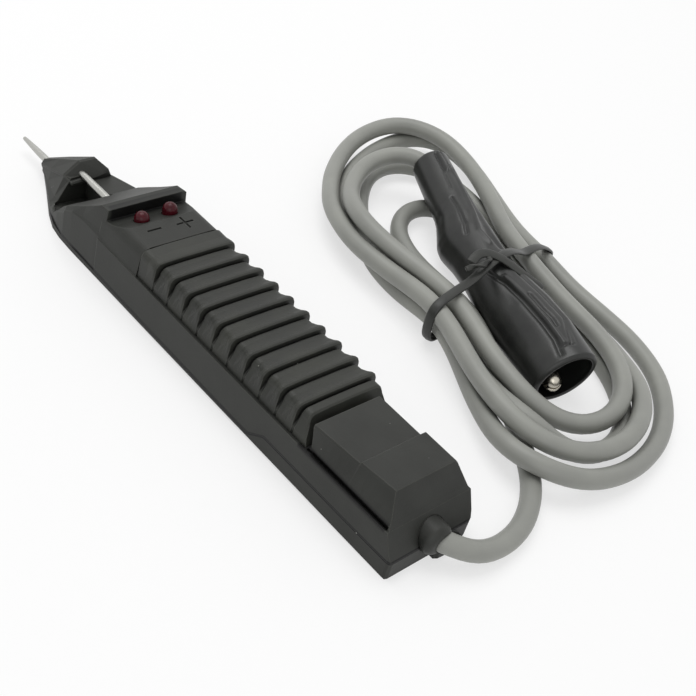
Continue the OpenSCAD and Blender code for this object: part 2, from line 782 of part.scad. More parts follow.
// Teeth along the mouth of a jaw, from the tip back to near the rivet
tooth_n = floor((jaw_l - 6) / tooth);
function teeth(base, rise, shift) = [
  for (i = [0 : tooth_n]) [pivot_s + jaw_l - 1 - (i + shift) * tooth, base + rise * (i % 2)]
];

// A jaw seen from the side, above the line where the two jaws meet
function jaw_side(lever) = concat(
  [[pivot_s + jaw_l, 0.25], [pivot_s + jaw_l, 1.9], [pivot_s + jaw_l - 0.5, 2.6],
    [pivot_s + jaw_l - 1.6, 3], [pivot_s + 12, 3.1], [pivot_s + 3, 2.8], [pivot_s - 3, 3]],
  lever,
  [[pivot_s - 3.6, 2], [pivot_s - 2.2, -1.2], [pivot_s + 2.2, -1.4], [pivot_s + 4.4, 0.2]],
  [for (i = [tooth_n : -1 : 0]) teeth(0.2, 0.6, 0.5)[i]]
);

module jaw_profile(points, w) {
  rotate([90, 0, 0]) linear_extrude(w, center = true) polygon(points);
}

lower_lever = [[lever_s - 4, 3.2], [lever_s - 7, 2.4], [lever_s - 7, 1.8], [lever_s - 3.6, 2.6]];
upper_lever = [[lever_s, 3], [lever_s, 2.4]];

// The lower jaw is folded from sheet: two ears at the rivet and a floor that carries the teeth
module jaw_lower() {
  w = jaw_w;
  color([0.75, 0.73, 0.68]) on_jaws() mirror([0, 0, 1]) difference() {
    jaw_profile(jaw_side(lower_lever), w);
    translate([0, 0, -sheet_t]) jaw_profile([[pivot_s + jaw_l - 2.4, 3], [pivot_s + 12, 3.1],
      [pivot_s + 3, 2.8], [pivot_s - 3, 3], [lever_s - 4, 3.2], [lever_s - 8, 2],
      [lever_s - 8, -4], [pivot_s + jaw_l - 2.4, -4]], w - 2 * sheet_t);
    for (s = [-1, 1]) translate([pivot_s + jaw_l + 4, s * (w / 2 + 1.6), 0])
      rotate([0, 0, s * 3.2]) cube([2 * jaw_l, 3.4, 20], center = true);
    translate([pivot_s, 0, 0]) rotate([90, 0, 0])
      cylinder(h = 20, r = rivet_d / 2, center = true);
  }
}

upper_w = jaw_w - 2 * sheet_t - 2 * ear_gap;
module jaw_upper() {
  w = upper_w;
  color([0.75, 0.73, 0.68]) on_jaws() difference() {
    jaw_profile(jaw_side(upper_lever), w);
    translate([0, 0, -sheet_t]) jaw_profile([[pivot_s + jaw_l - 2.4, 3], [pivot_s + 12, 3.1],
      [pivot_s + 3, 2.8], [pivot_s - 3, 3], [lever_s - 1, 3],
      [lever_s - 1, -4], [pivot_s + jaw_l - 2.4, -4]], w - 2 * sheet_t);
    translate([pivot_s, 0, 0]) rotate([90, 0, 0])
      cylinder(h = 20, r = rivet_d / 2 + slack, center = true);
  }
}

module clip_rivet() {
  color([0.7, 0.68, 0.62]) on_jaws() translate([pivot_s, 0, 0]) rotate([90, 0, 0]) {
    cylinder(h = jaw_w, r = rivet_d / 2, center = true);
    for (s = [-1, 1]) translate([0, 0, s * (jaw_w / 2 + 0.25)])
      cylinder(h = 0.5, r = rivet_d / 2 + 0.6, center = true);
  }
}

// The spring is wound round the rivet, with one leg along each lever
spring_d = 0.4;
spring_r = rivet_d / 2 + 0.15 + spring_d / 2;
spring_half = upper_w / 2 - sheet_t - 0.1 - spring_d / 2;
spring_leg = asin(0.55);
function spring_path() = concat(
  [[-9, -spring_half, 2.1]],
  [for (i = [0 : 36]) let (a = 90 + 1080 * i / 36, y = -spring_half + 2 * spring_half * i / 36)
    [spring_r * cos(a), y, spring_r * sin(a)]],
  [[-9, spring_half, -2.1]]
);
function wire_ring(c, t, r, n) =
  let (s = unit(cross(t, [0, 1, 0.001])), u = cross(s, t))
  [for (k = [0 : n - 1]) c + r * (cos(360 * k / n) * s + sin(360 * k / n) * u)];

module clip_spring() {
  p = spring_path();
  color([0.6, 0.6, 0.58]) on_jaws() translate([pivot_s, 0, 0])
    skin([for (i = [0 : len(p) - 1]) wire_ring(p[i], heading(p, i), spring_d / 2, 6)]);
}

// The bare end of the lead lies along the lower lever, where its tail is folded over it
module clip_core() {
  color([0.72, 0.45, 0.25]) on_jaws() union() {
    translate([bore_l, 0, 0]) rotate([0, 90, 0]) cylinder(h = 2, r = 0.8, $fn = 24);
    translate([bore_l + 2, 0, 0]) sphere(r = 0.84, $fn = 24);
    translate([bore_l + 2, 0, 0]) rotate([0, 126, 0]) cylinder(h = 2.2, r = 0.8, $fn = 24);
  }
}

translate([rear_x, 0, 0]) housing();
translate([rear_x, 0, 0]) cover();
translate([rear_x, 0, 0]) grip();
translate([rear_x, 0, 0]) probe_needle();
translate([rear_x, 0, 0]) needle_clip();
translate([rear_x, 0, 0]) circuit_board();
translate([rear_x, 0, 0]) lamp_minus();
translate([rear_x, 0, 0]) lamp_plus();
translate([rear_x, 0, 0]) lamp_minus_legs();
translate([rear_x, 0, 0]) lamp_plus_legs();
translate([rear_x, 0, 0]) resistor_minus();
translate([rear_x, 0, 0]) resistor_plus();
translate([rear_x, 0, 0]) diode();
translate([rear_x, 0, 0]) lead_core();
translate([rear_x, 0, 0]) cable_gland();
translate([rear_x, 0, 0]) lead_run();
translate([rear_x, 0, 0]) lead_hank();
translate([rear_x, 0, 0]) lead_end();
translate([rear_x, 0, 0]) twist_tie();
translate([rear_x, 0, 0]) clip_boot();
translate([rear_x, 0, 0]) jaw_lower();
translate([rear_x, 0, 0]) jaw_upper();
translate([rear_x, 0, 0]) clip_rivet();
translate([rear_x, 0, 0]) clip_spring();
translate([rear_x, 0, 0]) clip_core();
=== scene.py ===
import json
from math import cos, pi, radians, sin

import bpy
import numpy as np
from mathutils import Matrix


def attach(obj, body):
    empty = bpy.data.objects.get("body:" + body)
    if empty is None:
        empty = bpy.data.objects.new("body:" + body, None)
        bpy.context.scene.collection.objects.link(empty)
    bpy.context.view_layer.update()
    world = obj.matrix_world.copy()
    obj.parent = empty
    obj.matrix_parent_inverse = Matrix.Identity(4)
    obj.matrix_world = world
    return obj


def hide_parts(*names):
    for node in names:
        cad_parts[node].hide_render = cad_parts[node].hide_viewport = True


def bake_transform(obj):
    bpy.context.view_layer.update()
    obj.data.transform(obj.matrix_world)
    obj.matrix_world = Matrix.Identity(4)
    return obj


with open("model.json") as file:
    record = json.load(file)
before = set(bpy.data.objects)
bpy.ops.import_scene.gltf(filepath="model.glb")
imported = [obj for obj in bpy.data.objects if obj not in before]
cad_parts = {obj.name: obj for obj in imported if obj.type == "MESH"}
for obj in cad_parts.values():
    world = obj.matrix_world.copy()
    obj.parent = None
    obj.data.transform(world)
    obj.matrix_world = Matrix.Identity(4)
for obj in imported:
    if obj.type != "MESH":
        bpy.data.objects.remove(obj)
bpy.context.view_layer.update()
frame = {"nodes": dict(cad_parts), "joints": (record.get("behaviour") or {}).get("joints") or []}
mm = 0.001  # metres in one, for sizes written in mm
tiny = 1e-6  # keeps a length that is divided by above zero
rearX = 65.3  # the tester's rear wall stands here, mm forward of the frame's middle
print("frame loaded,", len(frame["nodes"]), "nodes")


# Points in mm from the tester's rear wall, turned to metres in the shared frame.
def place(points):
    return (np.asarray(points, float) + np.array([rearX, 0, 0])) * mm


# The place of a camera or a lamp: right, up, back and its spot are the columns.
def standing(right, up, back, at):
    matrix = np.eye(4)
    matrix[:3] = np.stack([right, up, back, at], 1)
    return Matrix(matrix.tolist())


# camera

cameraLook = dict(
    azimuth=38.248,
    elevation=38.577,
    roll=16.673,
    at=(68.348, -123.191, 149.086),  # mm from the rear wall
    lens=62.07,
    sensor=36.0,
    clipStart=0.01,  # m
)


# The view looks down its own back axis; right and up are then turned by the roll.
def makeCamera(look):
    a, e, r = (radians(look[k]) for k in ("azimuth", "elevation", "roll"))
    back = np.array([sin(a) * cos(e), -cos(a) * cos(e), sin(e)])
    level = np.array([cos(a), sin(a), 0.0])
    plumb = np.cross(back, level)
    right = level * cos(r) + plumb * sin(r)
    up = plumb * cos(r) - level * sin(r)
    data = bpy.data.cameras.new("camera")
    data.lens = look["lens"]
    data.sensor_width = look["sensor"]
    data.clip_start = look["clipStart"]
    camera = bpy.data.objects.new("camera", data)
    bpy.context.collection.objects.link(camera)
    camera.matrix_world = standing(right, up, back, place(look["at"]))
    bpy.context.scene.camera = camera


makeCamera(cameraLook)
print("camera set")


# meshes from grids and paths

# A grid of rows by columns becomes quads. closed joins the last column to the first, and
# ring the last row to the first. A cap adds one point at a row's middle and a fan round it.
def gridMesh(name, points, closed=True, ring=False, capStart=False, capEnd=False, uv=None):
    rows, columns = points.shape[:2]
    verts = points.reshape(-1, 3)
    r = np.arange(rows if ring else rows - 1)[:, None]
    c = np.arange(columns if closed else columns - 1)[None, :]
    below, right = (r + 1) % rows, (c + 1) % columns
    quads = np.stack([r * columns + c, r * columns + right,
                      below * columns + right, below * columns + c], -1).reshape(-1, 4)
    faces = quads.tolist()
    edge = np.arange(columns)
    for wanted, row, flip in ((capStart, 0, True), (capEnd, rows - 1, False)):
        if wanted:
            verts = np.vstack([verts, points[row].mean(0)])
            pole = np.full(columns, len(verts) - 1)
            a, b = row * columns + edge, row * columns + (edge + 1) % columns
            fan = np.stack([b, a, pole] if flip else [a, b, pole], -1)
            faces += fan.tolist()
    mesh = bpy.data.meshes.new(name)
    mesh.from_pydata(verts.tolist(), [], faces)
    mesh.polygons.foreach_set("use_smooth", np.ones(len(faces), bool))
    if uv is not None:
        layer = mesh.uv_layers.new(name="run")
        corner = np.empty(len(mesh.loops), int)
        mesh.loops.foreach_get("vertex_index", corner)
        poles = len(verts) - rows * columns
        flat = np.vstack([uv.reshape(-1, 2), np.repeat(uv[-1, :1], poles, 0)])
        layer.data.foreach_set("uv", flat[corner].ravel())
    mesh.update()
    piece = bpy.data.objects.new(name, mesh)
    bpy.context.collection.objects.link(piece)
    return piece


fineSteps = 6000  # places at which a smooth curve is worked out


# The length run from a path's start to each of its points.
def runAlong(path):
    return np.concatenate([[0], np.cumsum(np.linalg.norm(np.diff(path, axis=0), axis=1))])


# Carries a smooth curve through the points: a cubic whose slopes are worked out from one
# tridiagonal system over all points at once, then even steps along it, in mm.
def smoothPath(points, step, closed=False):
    points = np.asarray(points, float)
    if closed:
        points = np.vstack([points[-3:], points, points[:4]])
    chord = np.sqrt(np.linalg.norm(np.diff(points, axis=0), axis=1))
    t = np.concatenate([[0], np.cumsum(chord)])
    h = np.diff(t)
    slope = np.diff(points, axis=0) / h[:, None]
    n = len(points)
    system = np.zeros((n, n))
    side = np.zeros((n, 3))
    middle = np.arange(1, n - 1)
    system[middle, middle - 1] = h[1:]
    system[middle, middle] = 2 * (h[1:] + h[:-1])
    system[middle, middle + 1] = h[:-1]
    side[middle] = 3 * (h[1:, None] * slope[:-1] + h[:-1, None] * slope[1:])
    system[0, :2] = 2, 1
    system[-1, -2:] = 1, 2
    side[0], side[-1] = 3 * slope[0], 3 * slope[-1]
    tangent = np.linalg.solve(system, side)
    start, stop = (t[3], t[-4]) if closed else (t[0], t[-1])
    fine = np.linspace(start, stop, fineSteps)
    k = np.clip(np.searchsorted(t, fine, side="right") - 1, 0, n - 2)
    u = ((fine - t[k]) / h[k])[:, None]
    step0, step1 = h[k][:, None] * tangent[k], h[k][:, None] * tangent[k + 1]
    curve = ((2 * u**3 - 3 * u**2 + 1) * points[k] + (u**3 - 2 * u**2 + u) * step0
             + (-2 * u**3 + 3 * u**2) * points[k + 1] + (u**3 - u**2) * step1)
    run = runAlong(curve)
    count = int(round(run[-1] / step)) + 1
    even = np.linspace(0, run[-1], count)
    return np.stack([np.interp(even, run, curve[:, i]) for i in range(3)], -1)


# Two unit directions square to a path, at all its points at once: the first leans towards
# lean, the second is square to it. Where steady is set, both are turned back by the running
# sum of their own twist, so that a band carried along them doesn't roll.
def sides(path, lean, steady=False):
    tangent = np.gradient(path, axis=0)
    tangent /= np.linalg.norm(tangent, axis=1)[:, None]
    first = np.asarray(lean, float) - tangent * (tangent @ np.asarray(lean, float))[:, None]
    first /= np.linalg.norm(first, axis=1)[:, None]
    second = np.cross(tangent, first)
    if steady:
        roll = np.sum(np.diff(first, axis=0) * (second[1:] + second[:-1]) / 2, 1)
        back = -np.concatenate([[0], np.cumsum(roll)])[:, None]
        first, second = (first * np.cos(back) + second * np.sin(back),
                         second * np.cos(back) - first * np.sin(back))
    return first, second


# the tie's place and plane, square to the hank, which the lead and the tie share

tieAt = np.array([-44.8, 61.8, 0.0])
tieTurn = radians(99.4)
tieAcross = np.array([cos(tieTurn), sin(tieTurn), 0.0])
tieAlong = np.array([sin(tieTurn), -cos(tieTurn), 0.0])

# the lead

lead = dict(
    diameter=4.0,
    step=1.6,  # mm between rings
    around=20,
    # the lead as it lies in the photo, turn by turn, mm from the rear wall: out of the gland,
    # then round the hank, and the last turn into the boot's tail; the strands were settled
    # to lie a diameter apart, in low humps where they cross
    turns=[
        [
            (0.3, 0.2, 5), (4.8, 4.7, 3.7), (6.1, 10.9, 2.3), (5.2, 17.5, 2), (2.4, 23.4, 2),
            (-1.8, 28.5, 2), (-7, 32.6, 2.1), (-12.4, 36.3, 2), (-17.9, 40, 2),
            (-23.4, 43.7, 2), (-29.1, 47.1, 2), (-35, 50, 2), (-41.2, 52.2, 2),
            (-47.7, 53.5, 2), (-54.3, 54.3, 2), (-60.8, 55.2, 2), (-67.2, 57.1, 2.1),
            (-72.6, 60.8, 2.2), (-75.7, 66.5, 2.6), (-74.7, 72.8, 2.7), (-69.5, 76.6, 2.4),
            (-63, 77.7, 2.1), (-56.4, 77.3, 2), (-49.9, 76.2, 2), (-43.4, 75, 2),
            (-36.9, 73.8, 2), (-30.4, 72.4, 2), (-24, 70.8, 2), (-17.7, 68.8, 2),
            (-11.7, 66, 2), (-6.4, 62.1, 2), (-2.1, 57.1, 2)],
        [
            (0.1, 50.9, 2), (-0.6, 44.4, 2.3), (-4.2, 39.2, 3.7), (-9.8, 36.5, 5.7),
            (-16.3, 36.3, 5.5), (-22.3, 38.4, 3.8), (-28.2, 41.2, 2.5), (-34.2, 43.8, 2),
            (-40.5, 45.8, 2.2), (-47, 47.1, 2.8), (-53.5, 47.7, 3.9), (-60, 47.7, 5.1),
            (-66.5, 47.8, 6), (-73, 48.3, 5.6), (-79.1, 50.1, 4), (-84.6, 53.6, 2.6),
            (-89.4, 58.1, 2), (-93.4, 63.3, 2), (-96.6, 69.1, 2), (-99, 75.2, 2.1),
            (-100.4, 81.7, 2.4), (-100.1, 88.2, 3), (-96.8, 93.7, 3.5), (-90.9, 96.5, 3.3),
            (-84.3, 96.5, 2.7), (-77.9, 94.9, 2.2), (-71.8, 92.5, 2), (-65.7, 89.9, 2),
            (-59.5, 87.5, 2), (-53.2, 85.6, 2), (-46.7, 84.3, 2), (-40.2, 83.3, 2),
            (-33.6, 82.8, 2), (-27, 82.4, 2), (-20.4, 81.5, 2.1), (-14.1, 79.7, 2.1),
            (-8.2, 76.7, 2.1), (-3.2, 72.4, 2), (0.9, 67.2, 2), (3.9, 61.4, 2.1),
            (5.8, 55, 2.4)],
        [
            (6.6, 48.5, 2.8), (6.2, 42, 3.5), (4.4, 35.7, 4.5), (0.6, 30.5, 5.7),
            (-5.3, 27.9, 5.8), (-11.7, 28.8, 4.7), (-17.7, 31.4, 3.9), (-23.6, 34.3, 3.7),
            (-29.5, 37.4, 3.7), (-35.5, 40.1, 3.7), (-41.8, 42, 3.5), (-48.4, 43, 3),
            (-54.9, 43.7, 2.5), (-61.4, 44.9, 2.2), (-67.6, 47.2, 2), (-73.2, 50.7, 2),
            (-78.7, 54.3, 2), (-83.8, 58.5, 2.1), (-88.3, 63.4, 2.3), (-91.5, 69.1, 2.7),
            (-92.1, 75.6, 3), (-89.3, 81.5, 2.9), (-83.9, 85, 2.5), (-77.4, 86.1, 2.2),
            (-70.8, 85.6, 2), (-64.3, 84.2, 2), (-58, 82.5, 2), (-51.5, 80.9, 2),
            (-45.1, 79.6, 2), (-38.6, 78.4, 2), (-32.1, 77.1, 2), (-25.6, 75.7, 2.2),
            (-19.3, 73.8, 2.7), (-13.3, 71.2, 3.4), (-7.7, 67.7, 4.3), (-3.1, 63.1, 5),
            (0.3, 57.5, 5.5)],
        [
            (2.2, 51.1, 5.7), (2.1, 44.6, 5.7), (-0.4, 38.5, 5.9), (-5.1, 34.1, 6.6),
            (-11.4, 32.2, 7.5), (-17.9, 32.6, 8), (-24.3, 34.4, 8), (-30.4, 36.8, 7.9),
            (-36.6, 39.2, 7.8), (-42.9, 41, 7.5), (-49.5, 41.9, 7), (-56, 42.1, 6.5),
            (-62.6, 42.1, 6.2), (-69.2, 42.6, 6), (-75.6, 44.3, 5.9), (-81.6, 47.1, 5.6),
            (-86.8, 51.1, 5.2), (-91.6, 55.7, 4.9), (-95.8, 60.8, 4.6), (-99.4, 66.3, 4.6),
            (-102.1, 72.3, 5), (-103.2, 78.8, 5.8), (-101.8, 85.1, 6.8), (-97.5, 90, 7.2),
            (-91.4, 92.5, 6.9), (-84.9, 92.5, 6.3), (-78.5, 90.8, 6), (-72.5, 88.1, 6),
            (-66.7, 84.8, 6.2), (-61, 81.6, 6), (-55.1, 78.6, 6), (-49, 76, 6.1),
            (-42.6, 74.1, 6.1), (-36.2, 72.9, 6.1), (-29.6, 71.8, 6.1), (-23.2, 70.5, 6.2),
            (-16.9, 68.4, 6.3), (-11.2, 65.1, 6.3), (-6.6, 60.4, 5.9)],
        [
            (-4.3, 54.4, 4.9), (-5.6, 48.1, 4), (-10.2, 43.5, 4.3), (-16.4, 41.6, 5.6),
            (-22.9, 41.8, 6.5), (-29.3, 43.1, 7), (-35.7, 44.9, 7.5), (-42.2, 46.2, 8),
            (-48.7, 46.5, 8.4), (-55.3, 46, 8.6), (-61.9, 45.4, 9), (-68.5, 45.4, 9.4),
            (-74.8, 47.1, 9.3), (-80.2, 50.7, 8.3), (-84.7, 55.5, 7.8), (-87.9, 61.3, 8.3),
            (-88.8, 67.7, 9.2), (-86.1, 73.5, 10), (-80.1, 75.7, 9.8), (-73.8, 73.7, 9.5),
            (-67.7, 71.3, 9.2)],
    ],
    clear=0.02,  # mm between the lead and the table
    tieLift=0.85,  # the strands ride over the tie's thickness here
    tieSpread=9.0,
    tieTop=8.6,  # a strand at this height lies on the boot and doesn't rise
    tieFade=2.0,
)


# A circle of constant radius carried along the smooth route. Near the tie all strands
# rise together by a bell curve of the distance from its plane.
def makeLead(look):
    path = smoothPath(sum(look["turns"], []), look["step"])
    path[:, 2] = np.maximum(path[:, 2], look["diameter"] / 2 + look["clear"])
    away = (path - tieAt) @ tieAlong
    onTable = np.clip((look["tieTop"] - path[:, 2]) / look["tieFade"], 0, 1)
    path[:, 2] += look["tieLift"] * np.exp(-(away / look["tieSpread"]) ** 2) * onTable
    path = place(path)
    first, second = sides(path, (0, 0, 1))
    turn = np.linspace(0, 2 * pi, look["around"], endpoint=False)[None, :, None]
    radius = look["diameter"] / 2 * mm
    points = path[:, None] + radius * (np.cos(turn) * first[:, None]
                                       + np.sin(turn) * second[:, None])
    run = runAlong(path)
    uv = np.stack(np.broadcast_arrays(run[:, None] / mm, turn[:, :, 0] / (2 * pi)), -1)
    piece = gridMesh("lead", points, capStart=True, capEnd=True, uv=uv)
    return piece, path, float(run[-1])


leadPiece, leadPath, leadLength = makeLead(lead)
print("lead made, %.0f mm" % (leadLength / mm))


# the clip's boot

boot = dict(
    at=(-81.2, 76.5, 9.89),  # the tail end's middle, mm from the rear wall
    roll=45.0,
    pitch=2.6,
    yaw=-20.9,
    long=71.0,
    wall=1.15,
    around=180,
    # along, left, right and top half widths, mm
    section=[
        (0.0, 3.95, 3.95, 3.95), (0.6, 4.5, 4.5, 4.5), (9, 5.35, 4.05, 4.55),
        (17, 6.0, 3.85, 4.65), (19.5, 6.6, 3.85, 4.85), (22, 7.6, 3.95, 5.15),
        (25, 8.9, 3.95, 5.3), (27, 9.1, 4.05, 5.4), (32, 8.3, 4.05, 5.4),
        (38, 7.9, 4.15, 5.4), (45, 8.1, 5.15, 5.4), (52, 8.1, 6.5, 5.4),
        (60, 7.6, 7.4, 5.4), (70.4, 7.0, 7.6, 5.4), (71, 6.6, 7.2, 5.0)],
    # the section is softened along the boot, in steps of softStep
    softStep=0.1,
    soften=4.0,
    softReach=14,
    softKeep=8,  # steps at each end that stay as the table says
    # lines on the skin as (mm along, radians round), how far they stand out and how wide
    lines=[
        ([(1.8, 0.64), (5.1, 0.67), (7.9, 0.67)], -0.45, 0.3),  # slit at the tail
        ([(0.6, 0.95), (2.1, 0.98), (4.2, 1.04), (6.4, 1.06)], -0.4, 0.28),
        ([(1.0, 0.82), (5.0, 0.86), (7.4, 0.86)], 0.4, 0.42),
        ([(8.7, 0.61), (11.2, 0.57), (13.8, 0.51)], -0.22, 0.3),
        ([(16.9, 0.32), (19.4, 0.37), (22.2, 0.4), (26.0, 0.4), (29.0, 0.24)], -0.4, 0.32),
        ([(5.6, 1.11), (9.9, 1.2), (14.8, 1.14), (19.6, 1.05), (24.1, 0.93), (29.3, 0.72),
          (33.6, 0.84)], 0.35, 0.5),  # the fold above the flank
        ([(6.6, 1.36), (12, 1.42), (18, 1.36), (24.1, 1.2), (30, 1.05), (35, 1.2)], -0.55, 0.75),
        ([(40.4, 0.0), (42.4, 0.08), (46.6, 0.3), (53.0, 0.35), (60.0, 0.38), (64.9, 0.4),
          (69.0, 0.3)], -0.6, 0.4),  # long groove under the mouth's fold
        ([(44.6, 0.42), (53.0, 0.5), (60.0, 0.53), (66.9, 0.56)], 0.35, 0.4),
        ([(51.6, 0.64), (56.6, 0.66), (59.5, 0.71), (62.0, 0.69)], -0.45, 0.3),
        ([(67.3, 0.45), (67.3, 0.6), (67.2, 0.8)], -0.35, 0.25),
        ([(42.0, 1.0), (50, 1.05), (60.1, 1.17), (63.8, 0.95), (67.2, 0.8)], -0.5, 0.5),
        ([(20, 5.6), (30, 5.5), (45, 5.9), (62, 5.8)], -0.18, 1.4),  # shallow pulls on the left
        ([(34, 0.9), (44, 0.35), (52, 0.1)], -0.2, 0.9)],
    meanRadius=5.0,  # on which widths round the boot are measured
    rim=0.6,  # roundness of the mouth's and the tail's edge
    rows=270,
    boreRows=60,
    boreEnd=19.6,  # the bore closes this far along
    boreRound=2.4,
    boreTaper=1.6,
    rimSteps=9,
    # the way in which the mouth's upper side would open with the jaw
    openLean=0.17,  # how far that way leans towards the mouth
    openReach=9.8,  # mm from the hinge over which the skin would pass from one body to the other
)


# Points turned about X, then Y, then Z, in degrees.
def turned(points, roll, pitch, yaw):
    r, p, y = radians(roll), radians(pitch), radians(yaw)
    aboutX = np.array([[1, 0, 0], [0, cos(r), -sin(r)], [0, sin(r), cos(r)]])
    aboutY = np.array([[cos(p), 0, sin(p)], [0, 1, 0], [-sin(p), 0, cos(p)]])
    aboutZ = np.array([[cos(y), -sin(y), 0], [sin(y), cos(y), 0], [0, 0, 1]])
    return points @ (aboutZ @ aboutY @ aboutX).T


# At each place along the boot the section is an oval with its own left, right and top half
# widths, taken in by inset; turn runs once round it.
def bootSurface(look, s, turn, inset):
    table = np.array(look["section"])
    reach, keep = look["softReach"], look["softKeep"]
    fine = np.linspace(0, look["long"], round(look["long"] / look["softStep"]) + 1)
    wide = np.stack([np.interp(fine, table[:, 0], table[:, i]) for i in (1, 2, 3)])
    bell = np.exp(-(np.arange(-reach, reach + 1) / look["soften"]) ** 2)
    bell /= bell.sum()
    padded = np.pad(wide, ((0, 0), (reach, reach)), "edge")
    soft = np.stack([np.convolve(row, bell, "valid") for row in padded])
    soft[:, :keep], soft[:, -keep:] = wide[:, :keep], wide[:, -keep:]
    left, right, top = (np.interp(s, fine, row) for row in soft)
    middle, half = (right - left) / 2, (left + right) / 2 - inset
    return np.stack(np.broadcast_arrays(
        s, middle + half * np.sin(turn), (top - inset) * np.cos(turn)), -1)


# How far the skin stands out, in mm: each line adds its height times a bell curve of the
# distance from it, measured along the boot and round its mean radius.
def bootRelief(look, s, turn):
    total = np.zeros(np.broadcast(s, turn).shape)
    radius = look["meanRadius"]
    for line, height, wide in look["lines"]:
        near = np.full(total.shape, np.inf)
        for a, b in zip(line[:-1], line[1:]):
            along, around = s - a[0], ((turn - a[1] + pi) % (2 * pi) - pi) * radius
            stepAlong, stepRound = b[0] - a[0], (b[1] - a[1]) * radius
            part = (along * stepAlong + around * stepRound) / (stepAlong**2 + stepRound**2)
            part = np.clip(part, 0, 1)
            near = np.minimum(near, np.hypot(along - part * stepAlong,
                                             around - part * stepRound))
        total += height * np.exp(-(near / wide) ** 2)
    return total


# Rows run from the tail's pole over the outside to the mouth, round the rim by a half
# circle of the wall's thickness, and back inside to a pole at the bore's end.
def makeBoot(look):
    long, wall, rim, bore = look["long"], look["wall"], look["rim"], look["boreEnd"]
    outer = np.concatenate([[0.0, rim / 4, rim],
                            np.linspace(2 * rim, long - 1.5 * rim, look["rows"])])
    arc = np.linspace(0, pi, look["rimSteps"])
    rimAlong = long - rim + rim * np.sin(arc)
    rimInset = wall / 2 * (1 - np.cos(arc))
    inner = np.concatenate([
        np.linspace(long - rim - 1, bore + look["boreRound"], look["boreRows"]),
        [bore + look["boreRound"] / 3, bore]])
    s = np.concatenate([outer, rimAlong, inner])[:, None]
    inset = np.concatenate([0 * outer, rimInset, 0 * inner + wall])[:, None]
    inset[-1] = wall + look["boreTaper"]
    turn = np.linspace(0, 2 * pi, look["around"], endpoint=False)[None, :]
    points = bootSurface(look, s, turn, inset)
    outward = bootSurface(look, s, turn, inset - 1) - points
    outward /= np.maximum(np.linalg.norm(outward, axis=-1, keepdims=True), tiny)
    depth = bootRelief(look, s, turn) * (inset < 0.01)
    points = points + outward * depth[..., None]
    points = turned(points, look["roll"], look["pitch"], look["yaw"]) + look["at"]
    uv = np.stack(np.broadcast_arrays(s, turn / (2 * pi)), -1)
    return gridMesh("boot", place(points)[:, ::-1], capStart=True, capEnd=True, uv=uv)


bootPiece = makeBoot(boot)
print("boot made")


# the clip's jaws

jaws = dict(
    roll=-27.0,  # the metal clip's own turn inside the boot
    rear=(30.0, -0.98, 0.28),  # along, across and up in the boot, mm
    pivot=(43.0, -0.98, 0.28),
    nose=(71.0, -2.3, -1.0),
    wide=1.95,
    upperShare=0.88,  # the upper jaw is a little narrower
    tall=2.0,
    round=2.0,  # mm of rounding at the nose
    tooth=1.1,
    toothTall=0.16,
    toothFrom=3.0,  # mm from the pivot towards the nose
    toothFace=0.3,  # how far round the flat face the teeth reach: 0 is all of it, 1 none
    gap=0.22,  # between each jaw's flat face and the middle
    lever=0.17,  # how fast the levers part behind the pivot
    leverThin=0.45,  # their share of the jaw's thickness
    leverFade=12.0,  # mm over which they thin, half of it before the pivot
    rows=150,
    tipRows=12,
    around=40,
)


# Half an oval carried from the levers to the nose, where it shrinks by a quarter circle.
# side is 1 above and -1 below. Teeth run across its flat face.
def makeJaw(name, look, side, wide):
    back, middle, front = look["rear"][0], look["pivot"][0], look["nose"][0]
    tipFrom = front - look["round"]
    full = np.linspace(back, tipFrom, look["rows"])
    tip = tipFrom + look["round"] * np.sin(np.linspace(0.1, pi / 2, look["tipRows"]))
    s = np.concatenate([full, tip])[:, None]
    shrink = np.sqrt(np.clip(1 - ((s - tipFrom).clip(0) / look["round"]) ** 2, 0, 1))
    share = ((s - middle) / (front - middle)).clip(0)
    across = look["pivot"][1] + share * (look["nose"][1] - look["pivot"][1])
    up = look["pivot"][2] + share * (look["nose"][2] - look["pivot"][2])
    turn = np.linspace(0, 2 * pi, look["around"], endpoint=False)[None, :]
    fade = ((s - middle) / look["leverFade"] + 0.5).clip(0, 1)
    tall = look["tall"] * (look["leverThin"] + (1 - look["leverThin"]) * fade)
    zigzag = np.abs(((s / look["tooth"]) % 1) * 2 - 1)
    teeth = look["toothTall"] * zigzag * (s > middle + look["toothFrom"])
    height = np.where(np.sin(turn) > 0, tall * np.sin(turn) * shrink,
                      -teeth * shrink * (np.sin(turn) < -look["toothFace"]))
    apart = look["gap"] + look["lever"] * (middle - s).clip(0)
    y = wide * np.cos(turn) * shrink
    z = side * (height + apart)
    r = radians(look["roll"])
    points = np.stack(np.broadcast_arrays(
        s, across + y * cos(r) - z * sin(r), up + y * sin(r) + z * cos(r)), -1)
    points = turned(points, boot["roll"], boot["pitch"], boot["yaw"]) + boot["at"]
    points = place(points if side < 0 else points[:, ::-1])
    return gridMesh(name, points, capStart=True, capEnd=True)


jawLow = makeJaw("jaw_below", jaws, -1, jaws["wide"])
jawHigh = makeJaw("jaw_above", jaws, 1, jaws["wide"] * jaws["upperShare"])
print("jaws made")


# the probe needle

needle = dict(
    # along and up in the tester's middle plane, mm from the rear wall, and the radius
    run=[(-132.5, 3.3, 0.2), (-132.35, 3.3, 0.38), (-131.9, 3.3, 0.46), (-130, 3.3, 0.56),
         (-127.6, 3.3, 0.68), (-126, 3.3, 0.75), (-123, 3.3, 0.8), (-117, 3.3, 0.85),
         (-115, 4.0, 0.85), (-111.6, 7.2, 0.85), (-109.8, 8.1, 0.8), (-107, 8.25, 0.8),
         (-95, 8.3, 0.8), (-84, 8.6, 0.85), (-76, 8.6, 0.85)],
    step=0.25,
    around=32,
)


